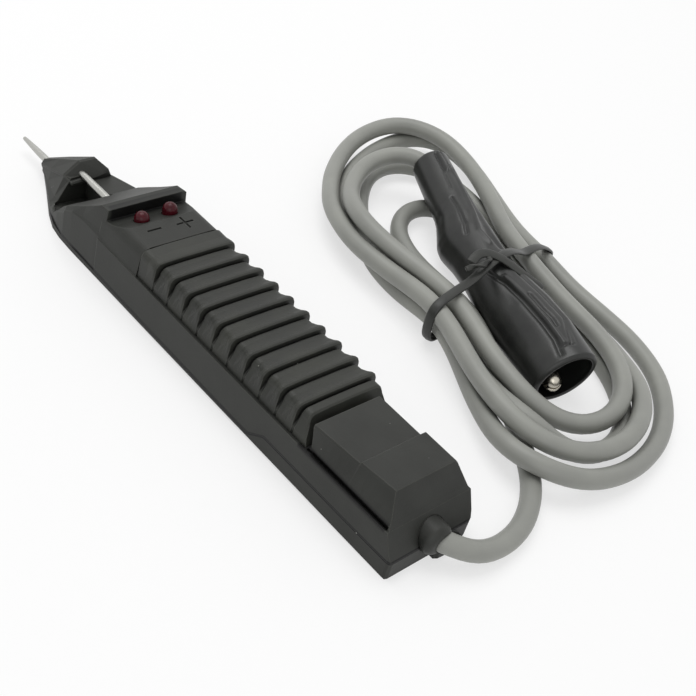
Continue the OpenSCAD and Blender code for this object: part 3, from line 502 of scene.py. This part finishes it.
# A circle carried along the bent wire, its radius read off the same table.
def makeNeedle(look):
    run = np.array(look["run"])
    line = np.stack([run[:, 0], 0 * run[:, 0], run[:, 1]], -1)
    path = smoothPath(line, look["step"])
    radius = np.interp(path[:, 0], run[:, 0], run[:, 2])[:, None, None] * mm
    path = place(path)
    first, second = sides(path, (0, 1, 0))
    turn = np.linspace(0, 2 * pi, look["around"], endpoint=False)[None, :, None]
    points = path[:, None] + radius * (np.cos(turn) * first[:, None]
                                       + np.sin(turn) * second[:, None])
    return gridMesh("needle", points, capStart=True, capEnd=True)


needlePiece = makeNeedle(needle)
print("needle made")


# the nose's hooked head: a skin that hangs a little over the slot behind it

hook = dict(
    # along; then across and up for each corner of the section, from left foot to right foot
    sections=[
        (-122.9, [(-1.2, 2.2), (-1.3, 2.8), (-0.65, 3.85), (0.65, 3.85), (1.3, 3.4), (1.2, 2.2)]),
        (-117.5, [(-2.3, 4.5), (-2.35, 5.1), (-0.25, 7.05), (2.05, 7.05), (3.3, 6.2), (3.6, 4.5)]),
        (-111.2, [(-3.4, 7.2), (-3.45, 7.8), (0.0, 10.5), (3.8, 10.5), (5.0, 9.2), (6.1, 6.7)]),
        (-110.6, [(-3.4, 7.2), (-3.45, 7.8), (0.1, 10.4), (3.9, 10.4), (5.1, 9.2), (6.2, 6.7)]),
        (-108.3, [(-3.2, 7.0), (-3.25, 7.6), (0.6, 7.9), (4.4, 8.3), (5.6, 8.9), (6.5, 6.8)]),
        (-108.0, [(-3.1, 6.9), (-3.2, 7.3), (0.6, 7.5), (4.4, 7.9), (5.5, 8.3), (6.5, 6.7)])],
)


# Straight lines between the sections' corners, each section closed inside the nose.
def makeHook(look):
    points = np.array([[(x, y, z) for y, z in row] for x, row in look["sections"]])
    piece = gridMesh("hook_skin", place(points), capStart=True, capEnd=True)
    piece.data.polygons.foreach_set("use_smooth", np.zeros(len(piece.data.polygons), bool))
    return piece


hookPiece = makeHook(hook)
print("hook skin made")


# the twist tie

tie = dict(
    wide=2.1,
    thick=0.62,
    # the loop round the hank in the tie's plane: mm across it, mm above the table
    loop=[(-23.9, 4.6), (-24.1, 7.5), (-23.5, 9.6), (-21.6, 10.6), (-18.4, 11.0),
          (-15.2, 11.15), (-12.5, 11.2), (-9.5, 11.7), (-5.5, 12.9), (-1.5, 13.5),
          (2.5, 13.1), (6.5, 11.6), (10, 9.9), (13.5, 9.2), (17, 8.5), (20.5, 7.1),
          (23.5, 5.4), (25.6, 3.7), (25.8, 1.9), (24.4, 0.62), (19, 0.56), (8, 0.56),
          (-4, 0.56), (-14, 0.56), (-20.5, 0.62), (-22.8, 1.9)],
    # the long flat end that lies beside the boot's ridge
    tongue=[(-45.6, 52.6, 13.6), (-46.4, 55.6, 14.3), (-45.4, 58.2, 14.3), (-43.0, 60.4, 13.6),
            (-40.0, 62.0, 12.6), (-37.0, 63.4, 11.6), (-34.6, 64.6, 10.8)],
    stub=[(-45.0, 50.6, 12.9), (-44.5, 51.8, 13.5), (-43.9, 53.2, 13.9), (-43.7, 54.8, 14.0),
          (-44.2, 56.4, 14.0), (-45.0, 57.6, 13.9)],
    stubWide=1.35,
    stubTwist=1.1,
    lean=(0.1, 0.2, 1.0),  # the flat ends start level, square to this
    step=0.35,
    around=16,
    sidePower=0.45,  # squarer than an oval where these are below one
    facePower=0.7,
    rib=0.35,  # the wire inside shows as a rib this much thicker and this wide
    ribWide=0.35,
)


# A flat band carried along the path, its section a rounded oblong: half its width times
# the cosine and half its thickness times the sine of a full turn, each raised to a power.
# twist turns it evenly from end to end, in whole turns.
def ribbon(name, points, look, closed=False, twist=0.0):
    path = place(smoothPath(points, look["step"], closed))
    if closed:
        path = path[:-1]
        ends = np.vstack([path[-1:], path, path[:1]])
        first, second = (side[1:-1] for side in sides(ends, tieAlong))
    else:
        up, first = sides(path, look["lean"], steady=True)
        second = -up
    corner = np.linspace(0, 2 * pi, look["around"], endpoint=False)
    c, n = np.cos(corner), np.sin(corner)
    across = np.sign(c) * np.abs(c) ** look["sidePower"] * look["wide"] / 2
    out = np.sign(n) * np.abs(n) ** look["facePower"] * look["thick"] / 2
    out *= 1 + look["rib"] * np.exp(-(across / look["ribWide"]) ** 2)
    angle = np.linspace(0, twist * 2 * pi, len(path))[:, None]
    a = (across * np.cos(angle) - out * np.sin(angle))[..., None] * mm
    b = (across * np.sin(angle) + out * np.cos(angle))[..., None] * mm
    band = path[:, None] + a * first[:, None] + b * second[:, None]
    run = np.arange(len(band))[:, None] * look["step"]
    uv = np.stack(np.broadcast_arrays(run, corner / (2 * pi)), -1)
    return gridMesh(name, band, ring=closed, capStart=not closed, capEnd=not closed, uv=uv)


tieRing = np.array(tie["loop"])
tieRing = tieAt + tieRing[:, :1] * tieAcross + tieRing[:, 1:] * np.array([0, 0, 1.0])
tieLoop = ribbon("tie_loop", tieRing, tie, closed=True)
tieTongue = ribbon("tie_tongue", tie["tongue"], tie)
tieStub = ribbon("tie_stub", tie["stub"], {**tie, "wide": tie["stubWide"]},
                 twist=tie["stubTwist"])
tiePieces = [tieLoop, tieTongue, tieStub]
print("tie made")


# materials

# sRGB hex to linear light, with alpha 1.
def linearColour(code):
    c = np.array([int(code[i:i + 2], 16) for i in (1, 3, 5)]) / 255
    c = np.where(c <= 0.04045, c / 12.92, ((c + 0.055) / 1.055) ** 2.4)
    return (*[float(v) for v in c], 1.0)


# Adds a node, sets its sockets or own settings by name, and links its inputs.
def addNode(tree, kind, settings=None, links=None):
    node = tree.nodes.new("ShaderNode" + kind)
    for key, value in (settings or {}).items():
        if isinstance(key, str) and hasattr(node, key):
            setattr(node, key, value)
        else:
            node.inputs[key].default_value = value
    for key, output in (links or {}).items():
        tree.links.new(output, node.inputs[key])
    return node


# A new material with nothing in it but its output.
def startMaterial(name):
    material = bpy.data.materials.new(name)
    material.use_nodes = True
    tree = material.node_tree
    tree.nodes.clear()
    return material, tree, addNode(tree, "OutputMaterial")


# One between low and high, fading to zero over fade beyond each, all in mm.
def within(tree, value, low, high, fade):
    rise = addNode(tree, "MapRange", {"From Min": (low - fade) * mm, "From Max": low * mm},
                   {"Value": value})
    fall = addNode(tree, "MapRange", {"From Min": (high + fade) * mm, "From Max": high * mm},
                   {"Value": value})
    return addNode(tree, "Math", {"operation": "MULTIPLY"},
                   {0: rise.outputs[0], 1: fall.outputs[0]}).outputs[0]


# painted shade where the real mouldings gape: from, to and how softly it ends, in mm
gapShade = dict(
    tone="#050505",
    # the joint of cover and body, which steps up along here
    stepRun=(rearX - 37, rearX - 33),
    stepHeights=(1.3, 3.8),
    joint=(-0.2, 0.38, 0.1),
    # the groove at the rear block's foot
    footHeight=(9.0, 9.9, 0.6),
    footRun=(rearX - 25, rearX - 3.4, 0.4),
    # the ditch behind the guard
    ditchRun=(rearX - 88.1, rearX - 86.4, 0.3),
    ditchHeight=(13.0, 16.0, 0.25),
    ditchHalf=(-1, 8.0, 0.4),
)


# Painted shade as dark lines along the joint of cover and body, at the foot of the rear block and
# behind the guard: the largest of the three bands' shares, times share, mixes the tone in.
def shadowSeams(tree, where, colour, share):
    x, y, z = addNode(tree, "SeparateXYZ", {}, {0: where}).outputs
    step = addNode(tree, "MapRange", {"From Min": gapShade["stepRun"][0] * mm,
                                      "From Max": gapShade["stepRun"][1] * mm,
                                      "To Min": gapShade["stepHeights"][0] * mm,
                                      "To Max": gapShade["stepHeights"][1] * mm}, {"Value": x})
    above = addNode(tree, "Math", {"operation": "SUBTRACT"}, {0: z, 1: step.outputs[0]})
    joint = within(tree, above.outputs[0], *gapShade["joint"])
    side = addNode(tree, "Math", {"operation": "ABSOLUTE"}, {0: y})
    foot = addNode(tree, "Math", {"operation": "MULTIPLY"},
                   {0: within(tree, z, *gapShade["footHeight"]),
                    1: within(tree, x, *gapShade["footRun"])})
    ditch = addNode(tree, "Math", {"operation": "MULTIPLY"},
                    {0: within(tree, x, *gapShade["ditchRun"]),
                     1: within(tree, z, *gapShade["ditchHeight"])})
    inside = addNode(tree, "Math", {"operation": "MULTIPLY"},
                     {0: ditch.outputs[0],
                      1: within(tree, side.outputs[0], *gapShade["ditchHalf"])})
    first = addNode(tree, "Math", {"operation": "MAXIMUM"}, {0: joint, 1: foot.outputs[0]})
    every = addNode(tree, "Math", {"operation": "MAXIMUM"},
                    {0: first.outputs[0], 1: inside.outputs[0]})
    part = addNode(tree, "Math", {"operation": "MULTIPLY", 1: share}, {0: every.outputs[0]})
    return addNode(tree, "Mix", {"data_type": "RGBA", 7: linearColour(gapShade["tone"])},
                   {0: part.outputs[0], 6: colour}).outputs[2]


# Two tones mixed by broad noise, a fine moulded grain as bump, paler edges painted as a highlight
# where the rounded normal leaves the flat one, painted shade in the hollows and sparse dust.
def plastic(name, look):
    material, tree, output = startMaterial(name)
    where = addNode(tree, "TexCoord").outputs["Object"]
    broad = addNode(tree, "TexNoise", {"Scale": 1 / (look["patch"] * mm), "Detail": 3.0,
                                       "Roughness": 0.6}, {"Vector": where})
    # only the middle of the noise's range changes the tone, so the clouds have plain middles
    fade = addNode(tree, "MapRange", {"From Min": 0.35, "From Max": 0.65},
                   {"Value": broad.outputs["Fac"]})
    colour = addNode(tree, "Mix", {"data_type": "RGBA", 6: linearColour(look["colour"]),
                                   7: linearColour(look["tone"])},
                     {0: fade.outputs["Result"]}).outputs[2]
    soft = addNode(tree, "Bevel", {"samples": 6, "Radius": look["edge"] * mm})
    flat = addNode(tree, "NewGeometry")
    meet = addNode(tree, "VectorMath", {"operation": "DOT_PRODUCT"},
                   {0: soft.outputs["Normal"], 1: flat.outputs["Normal"]})
    # painted highlight: edges where the rounded normal leaves the flat one are mixed towards a
    # paler tone
    if look.get("highlightTone"):
        edgeHighlight = addNode(tree, "MapRange", {"From Min": 0.995, "From Max": 0.86,
                                          "To Max": look["highlightShow"]},
                       {"Value": meet.outputs["Value"]})
        colour = addNode(tree, "Mix", {"data_type": "RGBA", 7: linearColour(look["highlightTone"])},
                         {0: edgeHighlight.outputs["Result"], 6: colour}).outputs[2]
    # painted shade in the joint of cover and body, the rear block's foot groove and behind the
    # guard
    if look.get("seamShade"):
        colour = shadowSeams(tree, where, colour, look["seamShade"])
    # painted shade: where ambient occlusion finds a hollow, the colour is mixed towards a dark
    # tone
    if look.get("shadeReach"):
        hollow = addNode(tree, "AmbientOcclusion", {"samples": 8, "Distance": look["shadeReach"] * mm})
        deep = addNode(tree, "MapRange", {"From Min": 0.78, "From Max": 0.3,
                                          "To Max": look["shadeShow"]},
                       {"Value": hollow.outputs["AO"]})
        colour = addNode(tree, "Mix", {"data_type": "RGBA", 7: linearColour(look["shadeTone"])},
                         {0: deep.outputs["Result"], 6: colour}).outputs[2]
    if look.get("dust"):
        # a speck at the middle of one cell in four
        cells = addNode(tree, "TexVoronoi", {"Scale": 1 / (look["dust"] * mm), "Randomness": 1.0},
                        {"Vector": where})
        near = addNode(tree, "MapRange", {"From Min": 0.045, "From Max": 0.02},
                       {"Value": cells.outputs["Distance"]})
        pick = addNode(tree, "SeparateColor", {}, {"Color": cells.outputs["Color"]})
        rare = addNode(tree, "MapRange", {"From Min": 0.72, "From Max": 0.76},
                       {"Value": pick.outputs["Red"]})
        both = addNode(tree, "Math", {"operation": "MULTIPLY"},
                       {0: near.outputs["Result"], 1: rare.outputs["Result"]})
        colour = addNode(tree, "Mix", {"data_type": "RGBA", 7: linearColour(look["dustTone"])},
                         {0: both.outputs["Value"], 6: colour}).outputs[2]
    grain = addNode(tree, "TexNoise", {"Scale": 1 / (look["grain"] * mm), "Detail": 2.0},
                    {"Vector": where})
    gloss = addNode(tree, "MapRange", {"To Min": look["rough"][0], "To Max": look["rough"][1]},
                    {"Value": broad.outputs["Fac"]})
    bump = addNode(tree, "Bump", {"Strength": look["bump"], "Distance": 0.05 * mm},
                   {"Height": grain.outputs["Fac"], "Normal": soft.outputs["Normal"]})
    shader = addNode(tree, "BsdfPrincipled", {"IOR": look["ior"],
                                              "Specular IOR Level": look["shine"]},
                     {"Base Color": colour, "Roughness": gloss.outputs["Result"],
                      "Normal": bump.outputs["Normal"]})
    tree.links.new(shader.outputs[0], output.inputs["Surface"])
    return material


# In each look: colour, tone and patch are its two tones and the size of their clouds, grain
# the size of its surface grain, bump the grain's depth, edge the rounding of its corners,
# highlightTone and highlightShow the painted highlight on them, dust the distance of dust specks,
# shadeReach, shadeShow and shadeTone the painted shade in its hollows, seamShade how dark the
# painted shade in the joints is, rough the range of roughness. Sizes are in mm.

# black ABS, moulded with a fine spark grain: matt, with a painted highlight where its corners
# catch the light, and painted shade in its hollows and joints. The real grain is about 0.05 mm; it
# is drawn at 0.35 mm so that it shows.
housingLook = dict(colour="#282926", tone="#30312e", patch=9.0, grain=0.35, bump=0.4,
                   edge=0.3, highlightTone="#5d5e58", highlightShow=0.45, dust=3.2, dustTone="#a9aaa4",
                   shadeReach=1.6, shadeShow=0.92, shadeTone="#060606", seamShade=0.95,
                   rough=(0.45, 0.6), ior=1.53, shine=0.24)
absMoulded = plastic("black ABS, spark-grained moulding", housingLook)
# the cover is the same ABS from a second mould: as matt, a shade darker
absCover = plastic("black ABS, second moulding", {**housingLook, "colour": "#262724"})
# the grip is a softer nylon moulding: its skin is smoother and a little glossier
nylonGrip = plastic("black nylon, satin moulding", {
    **housingLook, "seamShade": 0, "colour": "#2a2b28", "tone": "#33342f", "grain": 0.5, "bump": 0.25,
    "rough": (0.38, 0.52)})
# soft PVC, dipped: smooth, satin to glossy, with painted shade in its folds and a painted
# highlight on its edges
pvcBoot = plastic("black soft PVC, dipped", dict(
    colour="#191a19", tone="#242523", patch=6.0, grain=0.8, bump=0.15, edge=0.15,
    highlightTone="#50514d", highlightShow=0.35, shadeReach=2.0, shadeShow=0.8, shadeTone="#060606",
    rough=(0.26, 0.4), ior=1.53, shine=0.4))
# the same PVC from a mould: duller, like the body it stands in, with a painted edge highlight and
# painted shade in its hollows
pvcGland = plastic("black soft PVC, moulded strain relief", dict(
    colour="#282926", tone="#30312e", patch=4.0, grain=0.4, bump=0.3, edge=0.3,
    highlightTone="#5d5e58", highlightShow=0.4, shadeReach=1.6, shadeShow=0.85, shadeTone="#060606",
    rough=(0.4, 0.55), ior=1.53, shine=0.24))
# grey PVC jacket, extruded: an even satin skin with faint scuffs, and painted shade where the
# strands lie close
pvcJacket = plastic("grey PVC, extruded jacket", dict(
    colour="#8a8b86", tone="#93948e", patch=14.0, grain=0.25, bump=0.10, edge=0.1,
    shadeReach=1.2, shadeShow=0.55, shadeTone="#3c3c39", rough=(0.36, 0.48), ior=1.53, shine=0.35))
# the tie is a steel wire in flat black PVC: satin, with a grey painted highlight on its edges and
# painted shade in its hollows
pvcTie = plastic("black PVC over wire, extruded band", dict(
    colour="#2b2c2a", tone="#353633", patch=3.0, grain=0.25, bump=0.25, edge=0.12,
    highlightTone="#5a5b56", highlightShow=0.35, shadeReach=0.8, shadeShow=0.8, shadeTone="#080808",
    rough=(0.35, 0.5), ior=1.53, shine=0.3))
# green epoxy glass laminate under resist: an even, half gloss green
laminateBoard = plastic("epoxy glass laminate, resist coated", dict(
    colour="#1f5a34", tone="#256a3c", patch=3.0, grain=0.2, bump=0.3, edge=0.1,
    rough=(0.3, 0.45), ior=1.5, shine=0.5))
# a dipped resistor: beige lacquer with a soft gloss
lacquerResistor = plastic("beige lacquer, dipped resistor", dict(
    colour="#b79c6b", tone="#c4ab7c", patch=1.5, grain=0.2, bump=0.2, edge=0.1,
    rough=(0.3, 0.4), ior=1.5, shine=0.5))
# a moulded epoxy diode: plain black with a dull gloss
epoxyDiode = plastic("black epoxy, moulded diode", dict(
    colour="#202020", tone="#2c2c2b", patch=1.5, grain=0.2, bump=0.2, edge=0.1,
    rough=(0.35, 0.45), ior=1.5, shine=0.5))


# Two metal tones by broad noise, with fine rolling lines or grain in the bump.
def metal(name, look):
    material, tree, output = startMaterial(name)
    where = addNode(tree, "TexCoord").outputs["Object"]
    stretch = addNode(tree, "Mapping", {"Scale": look["stretch"]}, {"Vector": where})
    lines = addNode(tree, "TexNoise", {"Scale": 1 / (look["grain"] * mm), "Detail": 3.0},
                    {"Vector": stretch.outputs["Vector"]})
    broad = addNode(tree, "TexNoise", {"Scale": 1 / (look["patch"] * mm), "Detail": 3.0},
                    {"Vector": where})
    colour = addNode(tree, "Mix", {"data_type": "RGBA", 6: linearColour(look["colour"]),
                                   7: linearColour(look["tone"])},
                     {0: broad.outputs["Fac"]})
    soft = addNode(tree, "Bevel", {"samples": 6, "Radius": 0.2 * mm})
    bump = addNode(tree, "Bump", {"Strength": look["bump"], "Distance": 0.03 * mm},
                   {"Height": lines.outputs["Fac"], "Normal": soft.outputs["Normal"]})
    gloss = addNode(tree, "MapRange", {"To Min": look["rough"][0], "To Max": look["rough"][1]},
                    {"Value": lines.outputs["Fac"]})
    shader = addNode(tree, "BsdfPrincipled", {"Metallic": 1.0},
                     {"Base Color": colour.outputs[2], "Roughness": gloss.outputs["Result"],
                      "Normal": bump.outputs["Normal"]})
    tree.links.new(shader.outputs[0], output.inputs["Surface"])
    return material


# nickel-plated steel, pressed: warm silver, softly scratched
steelJaw = metal("nickel-plated steel, pressed", dict(
    colour="#c9c4b8", tone="#b5b0a4", patch=2.0, grain=0.12, bump=0.3,
    stretch=(0.2, 1, 1), rough=(0.18, 0.38)))
# steel wire, drawn: cooler, with fine lines along it
steelNeedle = metal("steel wire, drawn and nickel-plated", dict(
    colour="#bdbdb9", tone="#a6a6a1", patch=2.0, grain=0.1, bump=0.25,
    stretch=(0.08, 1, 1), rough=(0.2, 0.35)))
# spring steel, drawn and oiled: darker grey, even all round
steelSpring = metal("spring steel, drawn", dict(
    colour="#9b9a96", tone="#84837f", patch=2.0, grain=0.1, bump=0.25,
    stretch=(1, 1, 1), rough=(0.25, 0.4)))
# brass, pressed: yellow with fine rolling lines
brassContact = metal("brass, pressed", dict(
    colour="#c8a04c", tone="#b58c3c", patch=2.0, grain=0.1, bump=0.25,
    stretch=(0.2, 1, 1), rough=(0.22, 0.4)))
# copper strands, drawn and bunched: red metal with deep lines between the strands
copperCore = metal("copper strands, drawn and bunched", dict(
    colour="#c27b4e", tone="#a9653b", patch=1.0, grain=0.2, bump=0.6,
    stretch=(0.2, 1, 1), rough=(0.25, 0.4)))
# tinned copper wire: bright, soft silver
tinWire = metal("copper wire, tinned", dict(
    colour="#c4c4c0", tone="#aeaea9", patch=1.0, grain=0.1, bump=0.2,
    stretch=(1, 1, 1), rough=(0.25, 0.4)))


# Cast epoxy, tinted through: light goes in and comes back deep red.
def lampEpoxy(name, look):
    material, tree, output = startMaterial(name)
    where = addNode(tree, "TexCoord").outputs["Object"]
    cloud = addNode(tree, "TexNoise", {"Scale": 1 / (look["patch"] * mm), "Detail": 2.0},
                    {"Vector": where})
    colour = addNode(tree, "Mix", {"data_type": "RGBA", 6: linearColour(look["colour"]),
                                   7: linearColour(look["tone"])}, {0: cloud.outputs["Fac"]})
    gloss = addNode(tree, "MapRange", {"To Min": 0.2, "To Max": 0.32},
                    {"Value": cloud.outputs["Fac"]})
    shader = addNode(tree, "BsdfPrincipled", {"IOR": 1.54, "Specular IOR Level": 0.18},
                     {"Base Color": colour.outputs[2], "Roughness": gloss.outputs["Result"]})
    tree.links.new(shader.outputs[0], output.inputs["Surface"])
    return material


# red epoxy, cast: dark and clear looking while it is unlit, with a small highlight
epoxyLamp = lampEpoxy("red epoxy, cast", dict(colour="#500f1a", tone="#2c080e", patch=1.0))

finishes = dict(
    housing=absMoulded, cover=absCover, grip=nylonGrip,
    needle_clip=brassContact, circuit_board=laminateBoard, lamp_minus=epoxyLamp,
    lamp_plus=epoxyLamp, lamp_minus_legs=tinWire, lamp_plus_legs=tinWire,
    resistor_minus=lacquerResistor, resistor_plus=lacquerResistor, diode=epoxyDiode,
    lead_core=copperCore, cable_gland=pvcGland,
    clip_rivet=steelJaw, clip_spring=steelSpring, clip_core=copperCore)
for node, material in finishes.items():
    data = bpy.data.objects[node].data
    data.materials.clear()
    data.materials.append(material)
leadPiece.data.materials.append(pvcJacket)
bootPiece.data.materials.append(pvcBoot)
for piece in tiePieces:
    piece.data.materials.append(pvcTie)
for piece in (jawLow, jawHigh):
    piece.data.materials.append(steelJaw)
needlePiece.data.materials.append(steelNeedle)
hookPiece.data.materials.append(absMoulded)
print("materials made")


# floor and light

studio = dict(
    sky=0.62,
    key=0.46,  # share of full level that each lamp gives a level surface at the object
    keyAt=(-0.25, 0.05, 0.75),
    keySize=0.55,
    fill=0.12,
    fillAt=(0.5, -0.5, 0.35),
    fillSize=0.5,
    floorSize=40.0,
    floorWhite=0.62,  # share of the floor's white that is plain light, near the object
    shadowNear=0.2,  # from here the share grows, and from shadowFar the floor is all light
    shadowFar=0.8,
    fibre=2.5,  # mm
)


# One where the camera, a reflection or a clear piece looks, and zero elsewhere.
def seen(tree):
    path = addNode(tree, "LightPath")
    first = addNode(tree, "Math", {"operation": "MAXIMUM"},
                    {0: path.outputs["Is Camera Ray"], 1: path.outputs["Is Glossy Ray"]})
    return addNode(tree, "Math", {"operation": "MAXIMUM"},
                   {0: first.outputs[0], 1: path.outputs["Is Transmission Ray"]}).outputs[0]


# A wide square whose white is part its own paint and part plain light, so the
# shadow stays on it.
def makeFloor(look):
    size = look["floorSize"]
    grid = np.array([[(-size, -size, 0), (size, -size, 0)],
                     [(-size, size, 0), (size, size, 0)]], float)
    floor = gridMesh("floor", grid, closed=False)
    # coated white paper: matt, its fibres a hardly seen unevenness of the white
    material, tree, output = startMaterial("white paper floor")
    where = addNode(tree, "TexCoord").outputs["Object"]
    fibre = addNode(tree, "TexNoise", {"Scale": 1 / (look["fibre"] * mm)}, {"Vector": where})
    tone = addNode(tree, "Mix", {"data_type": "RGBA", 6: linearColour("#f6f6f6"),
                                 7: linearColour("#f8f8f8")}, {0: fibre.outputs["Fac"]})
    paint = addNode(tree, "BsdfDiffuse", {}, {"Color": tone.outputs[2]})
    glow = addNode(tree, "Emission", {"Color": (1, 1, 1, 1), "Strength": 1.0})
    far = addNode(tree, "VectorMath", {"operation": "LENGTH"}, {0: where})
    away = addNode(tree, "MapRange", {"From Min": look["shadowNear"],
                                      "From Max": look["shadowFar"],
                                      "To Min": look["floorWhite"]},
                   {"Value": far.outputs["Value"]})
    share = addNode(tree, "Math", {"operation": "MULTIPLY"},
                    {0: seen(tree), 1: away.outputs[0]})
    both = addNode(tree, "MixShader", {}, {0: share.outputs[0], 1: paint.outputs[0],
                                           2: glow.outputs[0]})
    tree.links.new(both.outputs[0], output.inputs["Surface"])
    floor.data.materials.append(material)


# A square lamp that lights a level surface at the object by share of full level:
# power is share times pi squared times the distance squared.
def makeLamp(name, share, at, size):
    data = bpy.data.lights.new(name, "AREA")
    data.size = size
    at = np.array(at, float)
    data.energy = share * pi**2 * float(at @ at)
    lamp = bpy.data.objects.new(name, data)
    bpy.context.collection.objects.link(lamp)
    back = at / np.linalg.norm(at)
    right = np.cross([0, 0.01, 1.0], back)
    right /= np.linalg.norm(right)
    lamp.matrix_world = standing(right, np.cross(back, right), back, at)


# The world is even grey light, and plain white where it is looked at.
def makeSky(look):
    world = bpy.data.worlds.new("studio")
    bpy.context.scene.world = world
    world.use_nodes = True
    tree = world.node_tree
    tree.nodes.clear()
    level = addNode(tree, "MapRange", {"To Min": look["sky"], "To Max": 1.0},
                    {"Value": seen(tree)})
    sky = addNode(tree, "Background", {"Color": (1, 1, 1, 1)}, {"Strength": level.outputs[0]})
    output = addNode(tree, "OutputWorld")
    tree.links.new(sky.outputs[0], output.inputs["Surface"])


makeFloor(studio)
makeLamp("key", studio["key"], studio["keyAt"], studio["keySize"])
makeLamp("fill", studio["fill"], studio["fillAt"], studio["fillSize"])
makeSky(studio)
bpy.context.scene.view_settings.view_transform = "Standard"
print("floor and light made")


# what rides on what

for piece in [leadPiece, needlePiece, hookPiece, jawLow, *tiePieces]:
    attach(piece, "tester")
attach(jawHigh, "jaw")
hinge = next(j for j in frame["joints"] if j["name"] == "jaw_hinge")
# the way in which the mouth's upper side would open with the jaw, square to the hinge and leaning
# towards the mouth; it is worked out here but not put on the boot, which stays as it is
bootAxis = turned(np.array([1.0, 0, 0]), 0, boot["pitch"], boot["yaw"])
swingUp = np.cross(np.array(hinge["axis"]), bootAxis)
swingUp /= np.linalg.norm(swingUp)
openWay = swingUp + boot["openLean"] * bootAxis
openWay *= boot["openReach"] * mm / np.linalg.norm(openWay)
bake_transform(bootPiece)
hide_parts("lead_run", "lead_hank", "lead_end")
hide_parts("clip_boot")
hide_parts("twist_tie")
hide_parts("jaw_lower")
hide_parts("jaw_upper")
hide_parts("probe_needle")
print("pieces set on their bodies")
